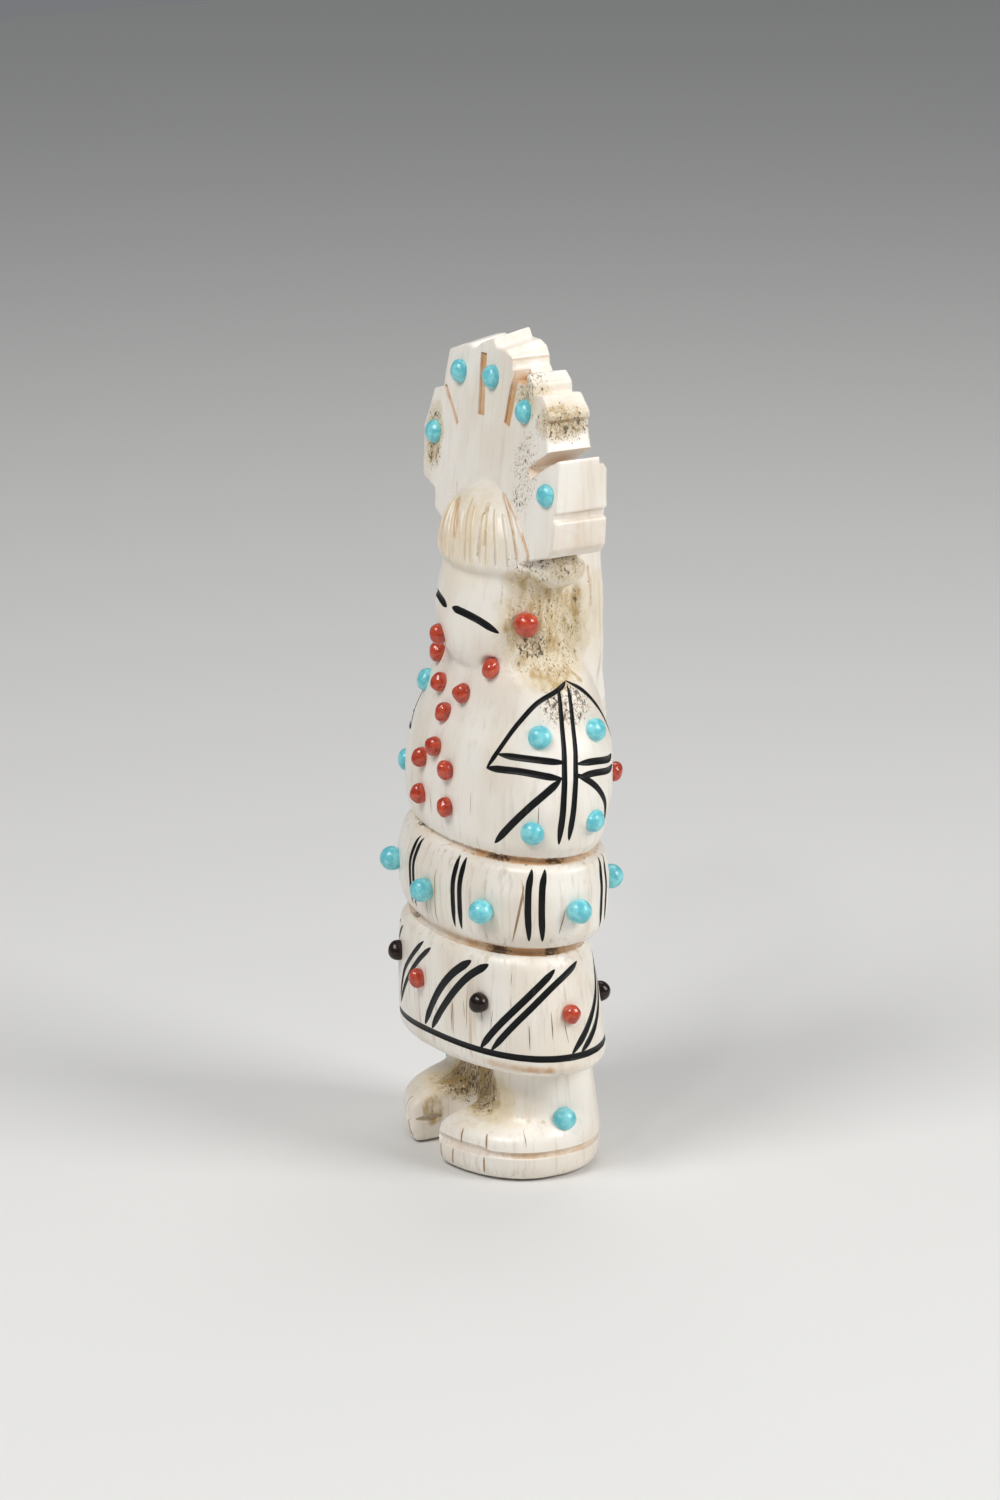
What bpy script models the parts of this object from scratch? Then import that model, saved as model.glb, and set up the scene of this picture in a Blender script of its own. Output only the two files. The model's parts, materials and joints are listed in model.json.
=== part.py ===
"""Maiden figure carved from one length of antler, set with stone beads.

Metres, +Z up. The figure faces -Y, her left hand side is +X, and the
origin is on the table, at the middle of the sole.
"""
import math

import bmesh
import bpy
from mathutils import Matrix, Vector
from mathutils.bvhtree import BVHTree

MM = 0.001

# Heights of the carving, in millimetres above the table.
SOLE_GROOVE = 3.6
FOOT_TOP = 7.6
HEM = 14.8
SKIRT_TOP = 28.6
BELT_FOOT = 29.6
BELT_TOP = 40.3
CAPE_EDGE = 41.0
CAPE_FULL = 47.0
SHOULDER = 61.0
CHIN = 61.9
BROW = 74.4
FRINGE_FOOT = 74.1
FRINGE_TOP = 84.2
HEADDRESS_FOOT = 77.2
HEADDRESS_TOP = 101.2

# Half widths (X) of the main masses.
HALF_SOLE = 15.1
HALF_HEM = 17.8
HALF_BELT = 17.4
HALF_CAPE = 17.5
HALF_HEAD = 9.6
HALF_HAIR = 9.2

# The cut between the feet, open at the front.
NOTCH_MIDDLE = -1.4
NOTCH_HALF = 2.9
NOTCH_BACK = -3.2
NOTCH_MOUTH = -9.4
TOE_ROUND = 1.8

# Her head is tipped a little to her left (slopes, not angles). The fringe
# falls towards the back of the head, and the hem hangs lower on her right.
HEAD_TILT = 0.09
FRINGE_FALL = 0.28
FRINGE_FALL_FROM = -4.5
FRINGE_FALL_HEIGHT = 4.0
HEM_TILT = 0.045
HEM_BOW = 0.002

# The headdress slab leans back and is thinner at its top.
HEADDRESS_LEAN = math.radians(6.0)
HEADDRESS_FRONT = -2.15
HEADDRESS_LEAN_FROM = 86.0
THICK_FOOT = 6.6
THICK_TOP = 4.7
LOW_RAY_BEND = 0.6
LOW_RAY_EXTRA = 0.5
KERF_WIDTH = 0.75
KERF_DEPTH = 1.3

SIDES = 40
FRINGE_FLUTES = 24
FRINGE_FLUTE = 0.5
HAIR_FLUTES = 20
HAIR_FLUTE = 0.4

# Beads: radius across, how far they stand proud, sides of their section.
SEAT_GAP = 0.3
SEAT_DEPTH = 0.75
SEAT_SIDES = 8
BEAD_SIDES = 8
STONES = {
    "turquoise": {"radius": 1.4, "proud": 2.2, "colour": (0.13, 0.56, 0.66), "rough": 0.3},
    "turquoise_cab": {"radius": 1.45, "proud": 1.25, "colour": (0.13, 0.56, 0.66), "rough": 0.3},
    "coral": {"radius": 1.2, "proud": 1.5, "colour": (0.58, 0.06, 0.03), "rough": 0.18},
    "coral_large": {"radius": 1.35, "proud": 1.5, "colour": (0.58, 0.06, 0.03), "rough": 0.18},
    "jet": {"radius": 1.1, "proud": 1.4, "colour": (0.02, 0.012, 0.01), "rough": 0.15},
}


def new_collection(name):
    collection = bpy.data.collections.new(name)
    bpy.context.scene.collection.children.link(collection)
    return collection


def new_material(name, colour, rough):
    material = bpy.data.materials.new(name)
    material.use_nodes = True
    shader = material.node_tree.nodes["Principled BSDF"]
    shader.inputs["Base Color"].default_value = (*colour, 1.0)
    shader.inputs["Roughness"].default_value = rough
    shader.inputs["Metallic"].default_value = 0.0
    return material


def mesh_object(name, bm, collection):
    mesh = bpy.data.meshes.new(name)
    bmesh.ops.recalc_face_normals(bm, faces=bm.faces)
    bm.to_mesh(mesh)
    bm.free()
    obj = bpy.data.objects.new(name, mesh)
    collection.objects.link(obj)
    return obj


def section(half_x, half_y, power, sides=SIDES, flute=0.0, back=1.0):
    """Points at equal steps along a superellipse, from +X round through +Y.

    With a flute, every other point is drawn in by that depth. The half
    behind y = 0 is scaled by back.
    """
    fine = []
    for i in range(16 * sides + 1):
        angle = 2 * math.pi * i / (16 * sides)
        c, s = math.cos(angle), math.sin(angle)
        x = math.copysign(abs(c) ** (2 / power), c) * half_x
        y = math.copysign(abs(s) ** (2 / power), s) * half_y
        fine.append(Vector((x, y * back if y > 0 else y)))
    lengths = [0.0]
    for start, end in zip(fine, fine[1:]):
        lengths.append(lengths[-1] + (end - start).length)
    points = []
    step = 0
    for i in range(sides):
        along = lengths[-1] * i / sides
        while lengths[step + 1] < along:
            step += 1
        share = (along - lengths[step]) / (lengths[step + 1] - lengths[step])
        point = fine[step].lerp(fine[step + 1], share)
        run = (fine[step + 1] - fine[step]).normalized()
        inward = Vector((-run.y, run.x)) * flute * (i % 2)
        points.append((point + inward)[:])
    return points


def level(x, y, z):
    return 0.0


def loft(name, rings, collection, drop=level):
    """Skin closed rings of (points, x, y, z) from the bottom up, and cap both ends.

    drop gives how far a point is let down from its ring's height.
    """
    bm = bmesh.new()
    rows = []
    for points, cx, cy, z in rings:
        row = [bm.verts.new(((cx + x) * MM, (cy + y) * MM, (z - drop(cx + x, cy + y, z)) * MM))
               for x, y in points]
        rows.append(row)
    for low, high in zip(rows, rows[1:]):
        for i in range(len(low)):
            j = (i + 1) % len(low)
            bm.faces.new((low[i], low[j], high[j], high[i]))
    bm.faces.new(list(reversed(rows[0])))
    bm.faces.new(rows[-1])
    bmesh.ops.triangulate(bm, faces=[f for f in bm.faces if len(f.verts) > 4])
    return mesh_object(name, bm, collection)


def flat_outline(name, outline, low, high, collection):
    """A closed outline in X and Y as a filled curve, made a solid from low to high in Z."""
    curve = bpy.data.curves.new(name, "CURVE")
    curve.dimensions = "2D"
    curve.fill_mode = "BOTH"
    curve.extrude = (high - low) / 2 * MM
    spline = curve.splines.new("POLY")
    spline.points.add(len(outline) - 1)
    for point, (x, y) in zip(spline.points, outline):
        point.co = (x * MM, y * MM, 0, 1)
    spline.use_cyclic_u = True
    guide = bpy.data.objects.new(name + "_guide", curve)
    collection.objects.link(guide)
    depsgraph = bpy.context.evaluated_depsgraph_get()
    mesh = bpy.data.meshes.new_from_object(guide.evaluated_get(depsgraph))
    bpy.data.objects.remove(guide)
    bm = bmesh.new()
    bm.from_mesh(mesh)
    bpy.data.meshes.remove(mesh)
    bmesh.ops.remove_doubles(bm, verts=bm.verts, dist=0.01 * MM)
    bmesh.ops.translate(bm, vec=(0, 0, (low + high) / 2 * MM), verts=bm.verts)
    return mesh_object(name, bm, collection)


def apply_boolean(target, tool, operation):
    """Join or cut with a tool and remove the tool."""
    modifier = target.modifiers.new("Carve", "BOOLEAN")
    modifier.operation = operation
    modifier.solver = "EXACT"
    modifier.object = tool
    depsgraph = bpy.context.evaluated_depsgraph_get()
    mesh = bpy.data.meshes.new_from_object(target.evaluated_get(depsgraph))
    target.modifiers.clear()
    target.data = mesh
    bpy.data.objects.remove(tool)


def feet(work):
    """Sole, groove, toe tier and the legs that rise out of it."""
    rows = [
        # height, half X, half Y, middle Y, power
        (0.0, 13.9, 9.6, -0.6, 2.3),
        (0.7, 14.7, 10.2, -0.6, 2.3),
        (SOLE_GROOVE - 0.5, HALF_SOLE, 10.5, -0.6, 2.3),
        (SOLE_GROOVE - 0.1, 14.6, 10.0, -0.6, 2.3),
        (SOLE_GROOVE + 0.2, 14.6, 10.0, -0.6, 2.3),
        (SOLE_GROOVE + 0.7, HALF_SOLE, 10.5, -0.6, 2.3),
        (FOOT_TOP - 2.5, 14.9, 10.3, -0.6, 2.3),
        (FOOT_TOP - 1.7, 14.6, 9.7, -0.1, 2.3),
        (FOOT_TOP - 1.0, 14.2, 8.4, 0.9, 2.3),
        (FOOT_TOP - 0.5, 13.7, 6.9, 2.2, 2.3),
        (FOOT_TOP + 0.8, 13.1, 5.9, 2.9, 2.3),
        (HEM + 0.9, 12.5, 5.2, 2.6, 2.3),
    ]
    return loft("feet", [(section(a, b, p), 0, cy, z) for z, a, b, cy, p in rows], work)


def shin(work, name, x, half_x, half_y):
    """The rounded front of one leg."""
    rows = [
        (FOOT_TOP - 1.6, half_x + 0.2, half_y + 0.3),
        (FOOT_TOP + 1.0, half_x, half_y),
        (HEM + 1.2, half_x - 0.4, half_y),
    ]
    return loft(name, [(section(a, b, 2.0, 28, back=0.4), x, 0.6, z) for z, a, b in rows], work)


def notch_outline():
    """Plan of the cut between the feet: a round back and a mouth that rounds the toes."""
    right = []
    for i in range(7):
        angle = math.pi / 2 * i / 6
        right.append((NOTCH_HALF * math.sin(angle), NOTCH_BACK - NOTCH_HALF * (1 - math.cos(angle))))
    for i in range(6):
        angle = math.pi / 2 * i / 5
        x = NOTCH_HALF + TOE_ROUND * (1 - math.cos(angle))
        right.append((x, NOTCH_MOUTH - TOE_ROUND * math.sin(angle)))
    right.append((NOTCH_HALF + TOE_ROUND + 0.6, NOTCH_MOUTH - TOE_ROUND - 4))
    left = [(-x, y) for x, y in reversed(right[1:])]
    return [(NOTCH_MIDDLE + x, y) for x, y in right + left]


def foot_notch(cutters):
    return flat_outline("foot_notch", notch_outline(), -2.0, HEM + 0.5, cutters)


def hem_drop(x, y, z):
    """The hem hangs lower on her right, and the skirt's top is level."""
    share = min(1.0, max(0.0, (SKIRT_TOP - z) / (SKIRT_TOP - HEM)))
    return share * (HEM_BOW * x * x - HEM_TILT * x)


def dress(work):
    """Skirt, belt and cape: one body with a groove above and below the belt."""
    rows = [
        # height, half X, half Y, middle Y, power
        (HEM - 1.3, 15.4, 8.9, -0.2, 2.1),
        (HEM - 0.95, 16.9, 9.6, -0.35, 2.1),
        (HEM, HALF_HEM, 10.1, -0.4, 2.1),
        (HEM + 2.6, 17.6, 10.2, -0.6, 2.1),
        (HEM + 8.6, 16.7, 10.0, -1.1, 2.1),
        (SKIRT_TOP - 1.0, 15.8, 9.7, -1.4, 2.1),
        (SKIRT_TOP, 15.1, 9.2, -1.4, 2.1),
        (SKIRT_TOP + 0.4, 14.3, 8.3, -1.2, 2.1),
        (BELT_FOOT, 14.6, 8.4, -0.9, 2.1),
        (BELT_FOOT + 0.5, 16.1, 9.7, -0.5, 2.1),
        (BELT_FOOT + 2.0, 17.1, 10.5, -0.35, 2.1),
        (BELT_TOP - 3.6, HALF_BELT, 10.75, -0.3, 2.1),
        (BELT_TOP - 0.6, 16.6, 10.0, -0.1, 2.1),
        (BELT_TOP, 15.6, 9.0, -0.1, 2.1),
        (CAPE_EDGE - 0.3, 15.0, 8.4, -0.1, 2.1),
        (CAPE_EDGE, 15.9, 9.0, -0.1, 2.1),
        (CAPE_EDGE + 1.4, 16.9, 9.6, -0.05, 2.1),
        (CAPE_FULL, HALF_CAPE, 10.2, 0.35, 2.1),
        (CAPE_FULL + 3.5, 17.0, 10.2, 0.6, 2.1),
        (CAPE_FULL + 6.5, 16.0, 10.0, 0.95, 2.1),
        (CAPE_FULL + 9.0, 14.9, 9.0, 1.2, 2.1),
        (SHOULDER - 2.0, 13.9, 8.2, 1.2, 2.1),
        (SHOULDER, 13.0, 7.6, 1.2, 2.1),
        (SHOULDER + 1.3, 11.7, 7.2, 1.2, 2.1),
        (SHOULDER + 2.6, 10.5, 6.9, 1.3, 2.1),
        (SHOULDER + 5.0, 9.8, 6.7, 1.3, 2.1),
        (SHOULDER + 9.0, HALF_HEAD, 6.7, 1.2, 2.1),
        (BROW, 9.4, 6.5, 1.1, 2.1),
        (BROW + 2.4, 9.0, 4.5, 1.5, 2.1),
    ]
    return loft("carving", [(section(a, b, p), 0, cy, z) for z, a, b, cy, p in rows], work, hem_drop)


def head_drop(x, y, z):
    return HEAD_TILT * x


def face(work):
    """Smooth, rounded face that juts over the cape at the chin."""
    middle_y = -1.2
    rows = [
        # height, half X, front Y
        (CHIN - 0.5, 5.4, -5.3),
        (CHIN, 6.6, -6.3),
        (CHIN + 0.8, 7.2, -6.95),
        (CHIN + 2.3, 7.7, -7.6),
        (CHIN + 4.1, 8.1, -8.0),
        (CHIN + 6.4, 8.4, -8.0),
        (CHIN + 8.3, 8.6, -7.4),
        (CHIN + 10.3, 8.6, -6.8),
        (BROW, 8.5, -6.0),
        (BROW + 3.0, 8.0, -5.0),
    ]
    rings = [(section(a, middle_y - front, 2.15, 32), 0, middle_y, z) for z, a, front in rows]
    return loft("face", rings, work, head_drop)


def fringe_drop(x, y, z):
    """The lower edge of the fringe falls towards the back of the head."""
    share = max(0.0, 1.0 - (z - FRINGE_FOOT) / FRINGE_FALL_HEIGHT)
    return FRINGE_FALL * share * max(0.0, y - FRINGE_FALL_FROM)


def fringe(work):
    """Fluted dome of hair that ends in a band round the sides of the head."""
    middle_y = -0.8
    half_x, half_y = 9.7, 7.1
    rows = [
        # share of the dome's height, share of its width, share of its depth behind
        (0.0, 0.93, 0.9),
        (0.05, 0.99, 0.9),
        (0.24, 1.0, 0.75),
        (0.45, 0.93, 0.3),
        (0.64, 0.80, 0.3),
        (0.80, 0.61, 0.3),
        (0.92, 0.38, 0.3),
        (0.985, 0.14, 0.3),
    ]
    rings = []
    for share, width, behind in rows:
        z = FRINGE_FOOT + (FRINGE_TOP - FRINGE_FOOT) * share
        points = section(half_x * width, half_y * width, 2.0, 2 * FRINGE_FLUTES, FRINGE_FLUTE * width, behind)
        rings.append((points, 0.3, middle_y, z))
    return loft("fringe", rings, work, fringe_drop)


def back_hair(work):
    """The long hair: a slab that falls from the headdress to the middle of the cape."""
    rows = [
        # height, half X, front Y, back Y
        (53.6, 6.0, 8.0, 10.7),
        (54.4, 7.2, 7.0, 11.1),
        (58.0, 8.2, 5.0, 10.6),
        (61.0, 8.8, 2.5, 10.4),
        (65.0, HALF_HAIR, 0.5, 10.4),
        (70.0, 9.0, 0.5, 10.4),
        (76.0, 8.7, 0.5, 10.1),
        (78.2, 8.3, 0.5, 9.3),
        (79.4, 7.7, 0.8, 7.9),
        (80.4, 6.6, 1.1, 5.7),
    ]
    rings = []
    for z, half_x, front, back in rows:
        half_y = (back - front) / 2
        rings.append((section(half_x, half_y, 3.2, 2 * HAIR_FLUTES, HAIR_FLUTE), 0, front + half_y, z))
    return loft("back_hair", rings, work)


def headdress_outline():
    """Five rays with stepped ends, clockwise from the foot on her right."""
    return [
        (-7.5, 76.4), (-9.9, 77.1), (-11.8, 77.9), (-12.3, 80.3), (-15.5, 81.3),
        (-16.2, 87.2), (-15.5, 89.0), (-14.6, 91.9), (-12.3, 92.6), (-12.2, 94.5),
        (-11.7, 97.2), (-9.2, 99.0), (-7.3, 99.5), (-6.0, 99.2), (-4.6, 100.1),
        (-1.6, HEADDRESS_TOP), (-0.9, 100.3), (1.2, 100.3), (2.6, 99.9), (3.3, 98.9), (3.5, 97.9),
        (4.2, 97.1), (7.4, 97.8), (8.7, 96.9), (8.9, 95.6), (11.0, 95.9), (13.1, 94.1),
        (12.8, 93.2), (13.5, 90.0), (9.4, 87.3), (10.2, 86.0),
        (15.3, 89.0), (15.7, 83.1), (15.1, 82.9), (15.1, 82.0), (15.7, 81.8),
        (15.6, 77.6), (14.4, 76.0), (11.0, 75.0), (8.5, 74.6),
    ]


def set_back(z):
    """How far the headdress's front face stands back at a height."""
    return HEADDRESS_FRONT + math.tan(HEADDRESS_LEAN) * (z - HEADDRESS_LEAN_FROM)


def headdress(work):
    """The outline stood upright, then leaned back and thinned towards its top."""
    slab = flat_outline("headdress", headdress_outline(), 0.0, 1.0, work)
    for vert in slab.data.vertices:
        x, z, share = (c / MM for c in vert.co)
        rise = (z - HEADDRESS_FOOT) / (HEADDRESS_TOP - HEADDRESS_FOOT)
        front = set_back(z)
        thick = THICK_FOOT + (THICK_TOP - THICK_FOOT) * rise
        if x > 14 and z < HEADDRESS_TOP - 10:
            front += LOW_RAY_BEND
            thick += LOW_RAY_EXTRA
        vert.co = (x * MM, (front + thick * share) * MM, z * MM)
    slab.data.flip_normals()
    return slab


def kerf(cutters, name, foot, top):
    """A saw cut in the headdress's front face, between two rays."""
    run = Vector((top[0] - foot[0], 0, top[1] - foot[1]))
    middle = Vector(((top[0] + foot[0]) / 2, set_back((top[1] + foot[1]) / 2), (top[1] + foot[1]) / 2))
    bm = bmesh.new()
    bmesh.ops.create_cube(bm, size=1.0)
    bmesh.ops.scale(bm, vec=(KERF_WIDTH * MM, 2 * KERF_DEPTH * MM, run.length * MM), verts=bm.verts)
    turn = math.atan2(run.x, run.z)
    place = Matrix.Translation(middle * MM) @ Matrix.Rotation(turn, 4, "Y")
    place = place @ Matrix.Rotation(-HEADDRESS_LEAN, 4, "X")
    bmesh.ops.transform(bm, matrix=place, verts=bm.verts)
    return mesh_object(name, bm, cutters)


def carve_figure(parts, cutters):
    """All of the antler is one piece: every mass is joined, then cut."""
    carving = dress(parts)
    legs = feet(cutters)
    for tool in (
        shin(cutters, "left_shin", 7.2, 5.7, 5.6),
        shin(cutters, "right_shin", -8.6, 4.3, 3.0),
    ):
        apply_boolean(legs, tool, "UNION")
    apply_boolean(legs, foot_notch(cutters), "DIFFERENCE")
    slab = headdress(cutters)
    apply_boolean(slab, kerf(cutters, "kerf_a", (-8.2, 88.8), (-12.0, 93.0)), "DIFFERENCE")
    apply_boolean(slab, kerf(cutters, "kerf_b", (-2.9, 91.1), (-3.6, 98.4)), "DIFFERENCE")
    apply_boolean(slab, kerf(cutters, "kerf_c", (3.4, 91.1), (4.7, 97.6)), "DIFFERENCE")
    for tool in (legs, face(cutters), back_hair(cutters), slab, fringe(cutters)):
        apply_boolean(carving, tool, "UNION")
    return carving


def body_hit(tree, angle, height):
    """Surface point seen from outside at an angle round the body (0 = front, 90 = her left)."""
    a = math.radians(angle)
    outward = Vector((math.sin(a), -math.cos(a), 0))
    start = outward * 40 * MM + Vector((0, 0, height * MM))
    return tree.ray_cast(start, -outward)[:2]


def front_hit(tree, x, z):
    """Surface point straight in from the front at X and Z."""
    start = Vector((x * MM, -40 * MM, z * MM))
    return tree.ray_cast(start, Vector((0, 1, 0)))[:2]


def side_hit(tree, y, z, side):
    """Surface point straight in from her left (1) or right (-1) at Y and Z."""
    start = Vector((side * 40 * MM, y * MM, z * MM))
    return tree.ray_cast(start, Vector((-side, 0, 0)))[:2]


def bead_places(tree):
    """Every bead's name, stone, surface point and outward direction."""
    places = []

    def add(name, stone, hit):
        places.append((name, stone, hit[0], hit[1]))

    rays = [(-13.4, 86.9), (-8.6, 95.2), (-0.9, 96.0), (7.5, 93.5), (13.6, 84.8)]
    for i, (x, z) in enumerate(rays):
        add(f"headdress_bead_{i + 1}", "turquoise_cab", front_hit(tree, x, z))
    add("mouth_bead", "coral", front_hit(tree, -2.0, 65.2))
    for side, name in ((1, "left"), (-1, "right")):
        add(f"ear_bead_{name}", "coral_large", side_hit(tree, -1.9, 68.1, side))
    necklace = [(-6.1, 61.5), (-3.0, 58.8), (-0.3, 55.8), (2.6, 58.8), (6.0, 62.4)]
    for i, (x, z) in enumerate(necklace):
        add(f"necklace_bead_{i + 1}", "coral", front_hit(tree, x, z))
    chest = [(0.0, 51.9), (-3.1, 49.8), (3.1, 49.8), (-3.2, 45.3), (3.2, 45.3)]
    for i, (x, z) in enumerate(chest):
        add(f"chest_bead_{i + 1}", "coral", front_hit(tree, x, z))
    left_cape = [(-2.9, 55.6), (4.2, 55.7), (-4.7, 44.5), (2.6, 45.4)]
    right_cape = [(-5.6, 57.4), (2.2, 57.2), (-5.3, 45.9), (2.0, 46.4)]
    for side, name, spots in ((1, "left", left_cape), (-1, "right", right_cape)):
        for i, (y, z) in enumerate(spots):
            add(f"cape_bead_{name}_{i + 1}", "turquoise_cab", side_hit(tree, y, z, side))
    back = [(132, 48.7), (180, 47.6), (230, 48.9)]
    for i, (angle, z) in enumerate(back):
        add(f"back_bead_{i + 1}", "coral", body_hit(tree, angle, z))
    belt = [(3, 34.5), (51, 34.4), (90, 34.9), (138, 35.1),
            (180, 35.0), (222, 34.9), (270, 34.7), (309, 34.9)]
    for i, (angle, z) in enumerate(belt):
        add(f"belt_bead_{i + 1}", "turquoise", body_hit(tree, angle, z))
    skirt = [(-6, 22.7), (49, 22.8), (88, 21.8), (130, 21.0),
             (180, 21.2), (236, 21.8), (274, 22.6), (319, 23.9)]
    for i, (angle, z) in enumerate(skirt):
        stone = "coral" if i % 2 == 0 else "jet"
        add(f"skirt_bead_{i + 1}", stone, body_hit(tree, angle, z))
    for side, name in ((1, "left"), (-1, "right")):
        add(f"ankle_bead_{name}", "turquoise_cab", side_hit(tree, 0.7, 7.2, side))
    return places


def bead_mesh(stone):
    """Turned bead along +Z, its surface point at 0, with a flat base down in its seat."""
    size = STONES[stone]
    radius, proud = size["radius"], size["proud"]
    base = -(SEAT_DEPTH - SEAT_GAP)
    profile = [(0, proud), (0.48 * radius, 0.88 * proud), (0.88 * radius, 0.58 * proud),
               (radius, 0.25 * proud), (0.86 * radius, base), (0, base)]
    mesh = bpy.data.meshes.new(stone)
    mesh.from_pydata([(x * MM, 0, z * MM) for x, z in profile],
                     [(i, i + 1) for i in range(len(profile) - 1)], [])
    guide = bpy.data.objects.new(stone + "_guide", mesh)
    bpy.context.scene.collection.objects.link(guide)
    screw = guide.modifiers.new("Turn", "SCREW")
    screw.steps = BEAD_SIDES
    screw.render_steps = BEAD_SIDES
    screw.use_merge_vertices = True
    screw.merge_threshold = 0.01 * MM
    depsgraph = bpy.context.evaluated_depsgraph_get()
    turned = bpy.data.meshes.new_from_object(guide.evaluated_get(depsgraph))
    bpy.data.objects.remove(guide)
    bpy.data.meshes.remove(mesh)
    turned.name = stone
    turned.shade_smooth()
    return turned


def seat_cutter(stone, place, cutters):
    """Drilled seat, a little wider than its bead."""
    bm = bmesh.new()
    top = 2.0
    bmesh.ops.create_cone(bm, cap_ends=True, segments=SEAT_SIDES,
                          radius1=(STONES[stone]["radius"] + SEAT_GAP) * MM,
                          radius2=(STONES[stone]["radius"] + SEAT_GAP) * MM,
                          depth=(SEAT_DEPTH + top) * MM)
    lift = Matrix.Translation((0, 0, (top - SEAT_DEPTH) / 2 * MM))
    bmesh.ops.transform(bm, matrix=place @ lift, verts=bm.verts)
    return mesh_object("seat", bm, cutters)


def set_beads(carving, parts, cutters):
    """Drill a seat for each bead and set the bead in it."""
    mesh = carving.data
    tree = BVHTree.FromPolygons([v.co for v in mesh.vertices], [p.vertices for p in mesh.polygons])
    materials = {n: new_material(n, s["colour"], s["rough"]) for n, s in STONES.items()}
    meshes = {n: bead_mesh(n) for n in STONES}
    for name, mesh in meshes.items():
        mesh.materials.append(materials[name])
    for name, stone, point, normal in bead_places(tree):
        turn = Vector((0, 0, 1)).rotation_difference(normal).to_matrix().to_4x4()
        place = Matrix.Translation(point) @ turn
        apply_boolean(carving, seat_cutter(stone, place, cutters), "DIFFERENCE")
        bead = bpy.data.objects.new(name, meshes[stone])
        bead.matrix_world = place
        parts.objects.link(bead)


def main():
    for obj in list(bpy.data.objects):
        bpy.data.objects.remove(obj)
    parts = new_collection("antler_maiden")
    cutters = new_collection("cutters")
    carving = carve_figure(parts, cutters)
    set_beads(carving, parts, cutters)
    carving.data.materials.clear()
    carving.data.materials.append(new_material("antler", (0.80, 0.72, 0.58), 0.42))
    carving.data.shade_smooth()
    carving.data.set_sharp_from_angle(angle=math.radians(35))


main()
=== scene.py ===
import json
import math
import random

import bpy
import numpy as np
from mathutils import Euler, Matrix, Vector, bvhtree, kdtree, noise

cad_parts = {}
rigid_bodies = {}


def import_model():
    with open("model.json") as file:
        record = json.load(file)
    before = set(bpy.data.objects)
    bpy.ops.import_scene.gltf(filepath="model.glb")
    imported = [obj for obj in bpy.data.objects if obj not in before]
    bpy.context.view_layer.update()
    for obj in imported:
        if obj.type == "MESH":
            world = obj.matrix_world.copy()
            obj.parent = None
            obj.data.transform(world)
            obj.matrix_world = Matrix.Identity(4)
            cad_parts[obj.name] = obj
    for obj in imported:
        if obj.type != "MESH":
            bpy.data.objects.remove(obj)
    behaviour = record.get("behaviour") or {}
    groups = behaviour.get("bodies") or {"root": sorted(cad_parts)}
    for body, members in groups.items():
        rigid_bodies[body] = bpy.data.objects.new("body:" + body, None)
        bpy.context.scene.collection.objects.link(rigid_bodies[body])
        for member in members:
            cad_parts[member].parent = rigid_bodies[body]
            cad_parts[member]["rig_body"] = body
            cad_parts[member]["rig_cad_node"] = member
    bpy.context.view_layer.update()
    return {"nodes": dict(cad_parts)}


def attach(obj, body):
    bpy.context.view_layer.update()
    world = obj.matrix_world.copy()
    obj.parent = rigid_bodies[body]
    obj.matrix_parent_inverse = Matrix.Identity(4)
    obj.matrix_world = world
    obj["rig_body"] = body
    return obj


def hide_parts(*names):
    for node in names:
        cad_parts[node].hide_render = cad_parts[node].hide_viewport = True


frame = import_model()
mm = 0.001
print("frame loaded")


# small helpers

def deselectAll():
    if bpy.context.mode != "OBJECT":
        bpy.ops.object.mode_set(mode="OBJECT")
    bpy.ops.object.select_all(action="DESELECT")


def makeActive(obj):
    deselectAll()
    obj.select_set(True)
    bpy.context.view_layer.objects.active = obj


def added(operator, **settings):
    deselectAll()
    operator(**settings)
    return bpy.context.object


def editAll(obj):
    makeActive(obj)
    bpy.ops.object.mode_set(mode="EDIT")
    bpy.ops.mesh.select_all(action="SELECT")


def leaveEdit():
    bpy.ops.object.mode_set(mode="OBJECT")


def addModifier(obj, kind, **settings):
    modifier = obj.modifiers.new(kind.title(), kind)
    for name, value in settings.items():
        setattr(modifier, name, value)
    makeActive(obj)
    bpy.ops.object.modifier_apply(modifier=modifier.name)


def combine(body, other, operation):
    addModifier(body, "BOOLEAN", operation=operation, solver="MANIFOLD", object=other)
    bpy.data.objects.remove(other)


def readPoints(obj, what="co"):
    flat = np.empty(len(obj.data.vertices) * 3, np.float32)
    obj.data.vertices.foreach_get(what, flat)
    return flat.reshape(-1, 3).astype(float)


def writePoints(obj, points):
    obj.data.vertices.foreach_set("co", np.asarray(points, np.float32).ravel())
    obj.data.update()


def smoothStep(low, high, value):
    t = np.clip((value - low) / (high - low), 0, 1)
    return t * t * (3 - 2 * t)


def treeOf(points):
    tree = kdtree.KDTree(len(points))
    for index, point in enumerate(points):
        tree.insert(point, index)
    tree.balance()
    return tree


def joined(objects, name):
    deselectAll()
    for obj in objects:
        obj.select_set(True)
    bpy.context.view_layer.objects.active = objects[0]
    if len(objects) > 1:
        bpy.ops.object.join()
    objects[0].name = name
    return objects[0]


def finishPiece(obj, slotName, material, *nodes):
    makeActive(obj)
    bpy.ops.object.transform_apply(location=True, rotation=True, scale=True)
    obj.data.materials.clear()
    obj.data.materials.append(material)
    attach(obj, "root")
    if nodes:
        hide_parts(*nodes)


# materials

def setSockets(node, **values):
    for name, value in values.items():
        node.inputs[name.replace("_", " ")].default_value = value


def newMaterial(name, **values):
    material = bpy.data.materials.new(name)
    material.use_nodes = True
    shader = material.node_tree.nodes["Principled BSDF"]
    setSockets(shader, **values)
    tree = material.node_tree
    return material, tree, shader, tree.nodes.new("ShaderNodeTexCoord").outputs["Object"]


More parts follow.
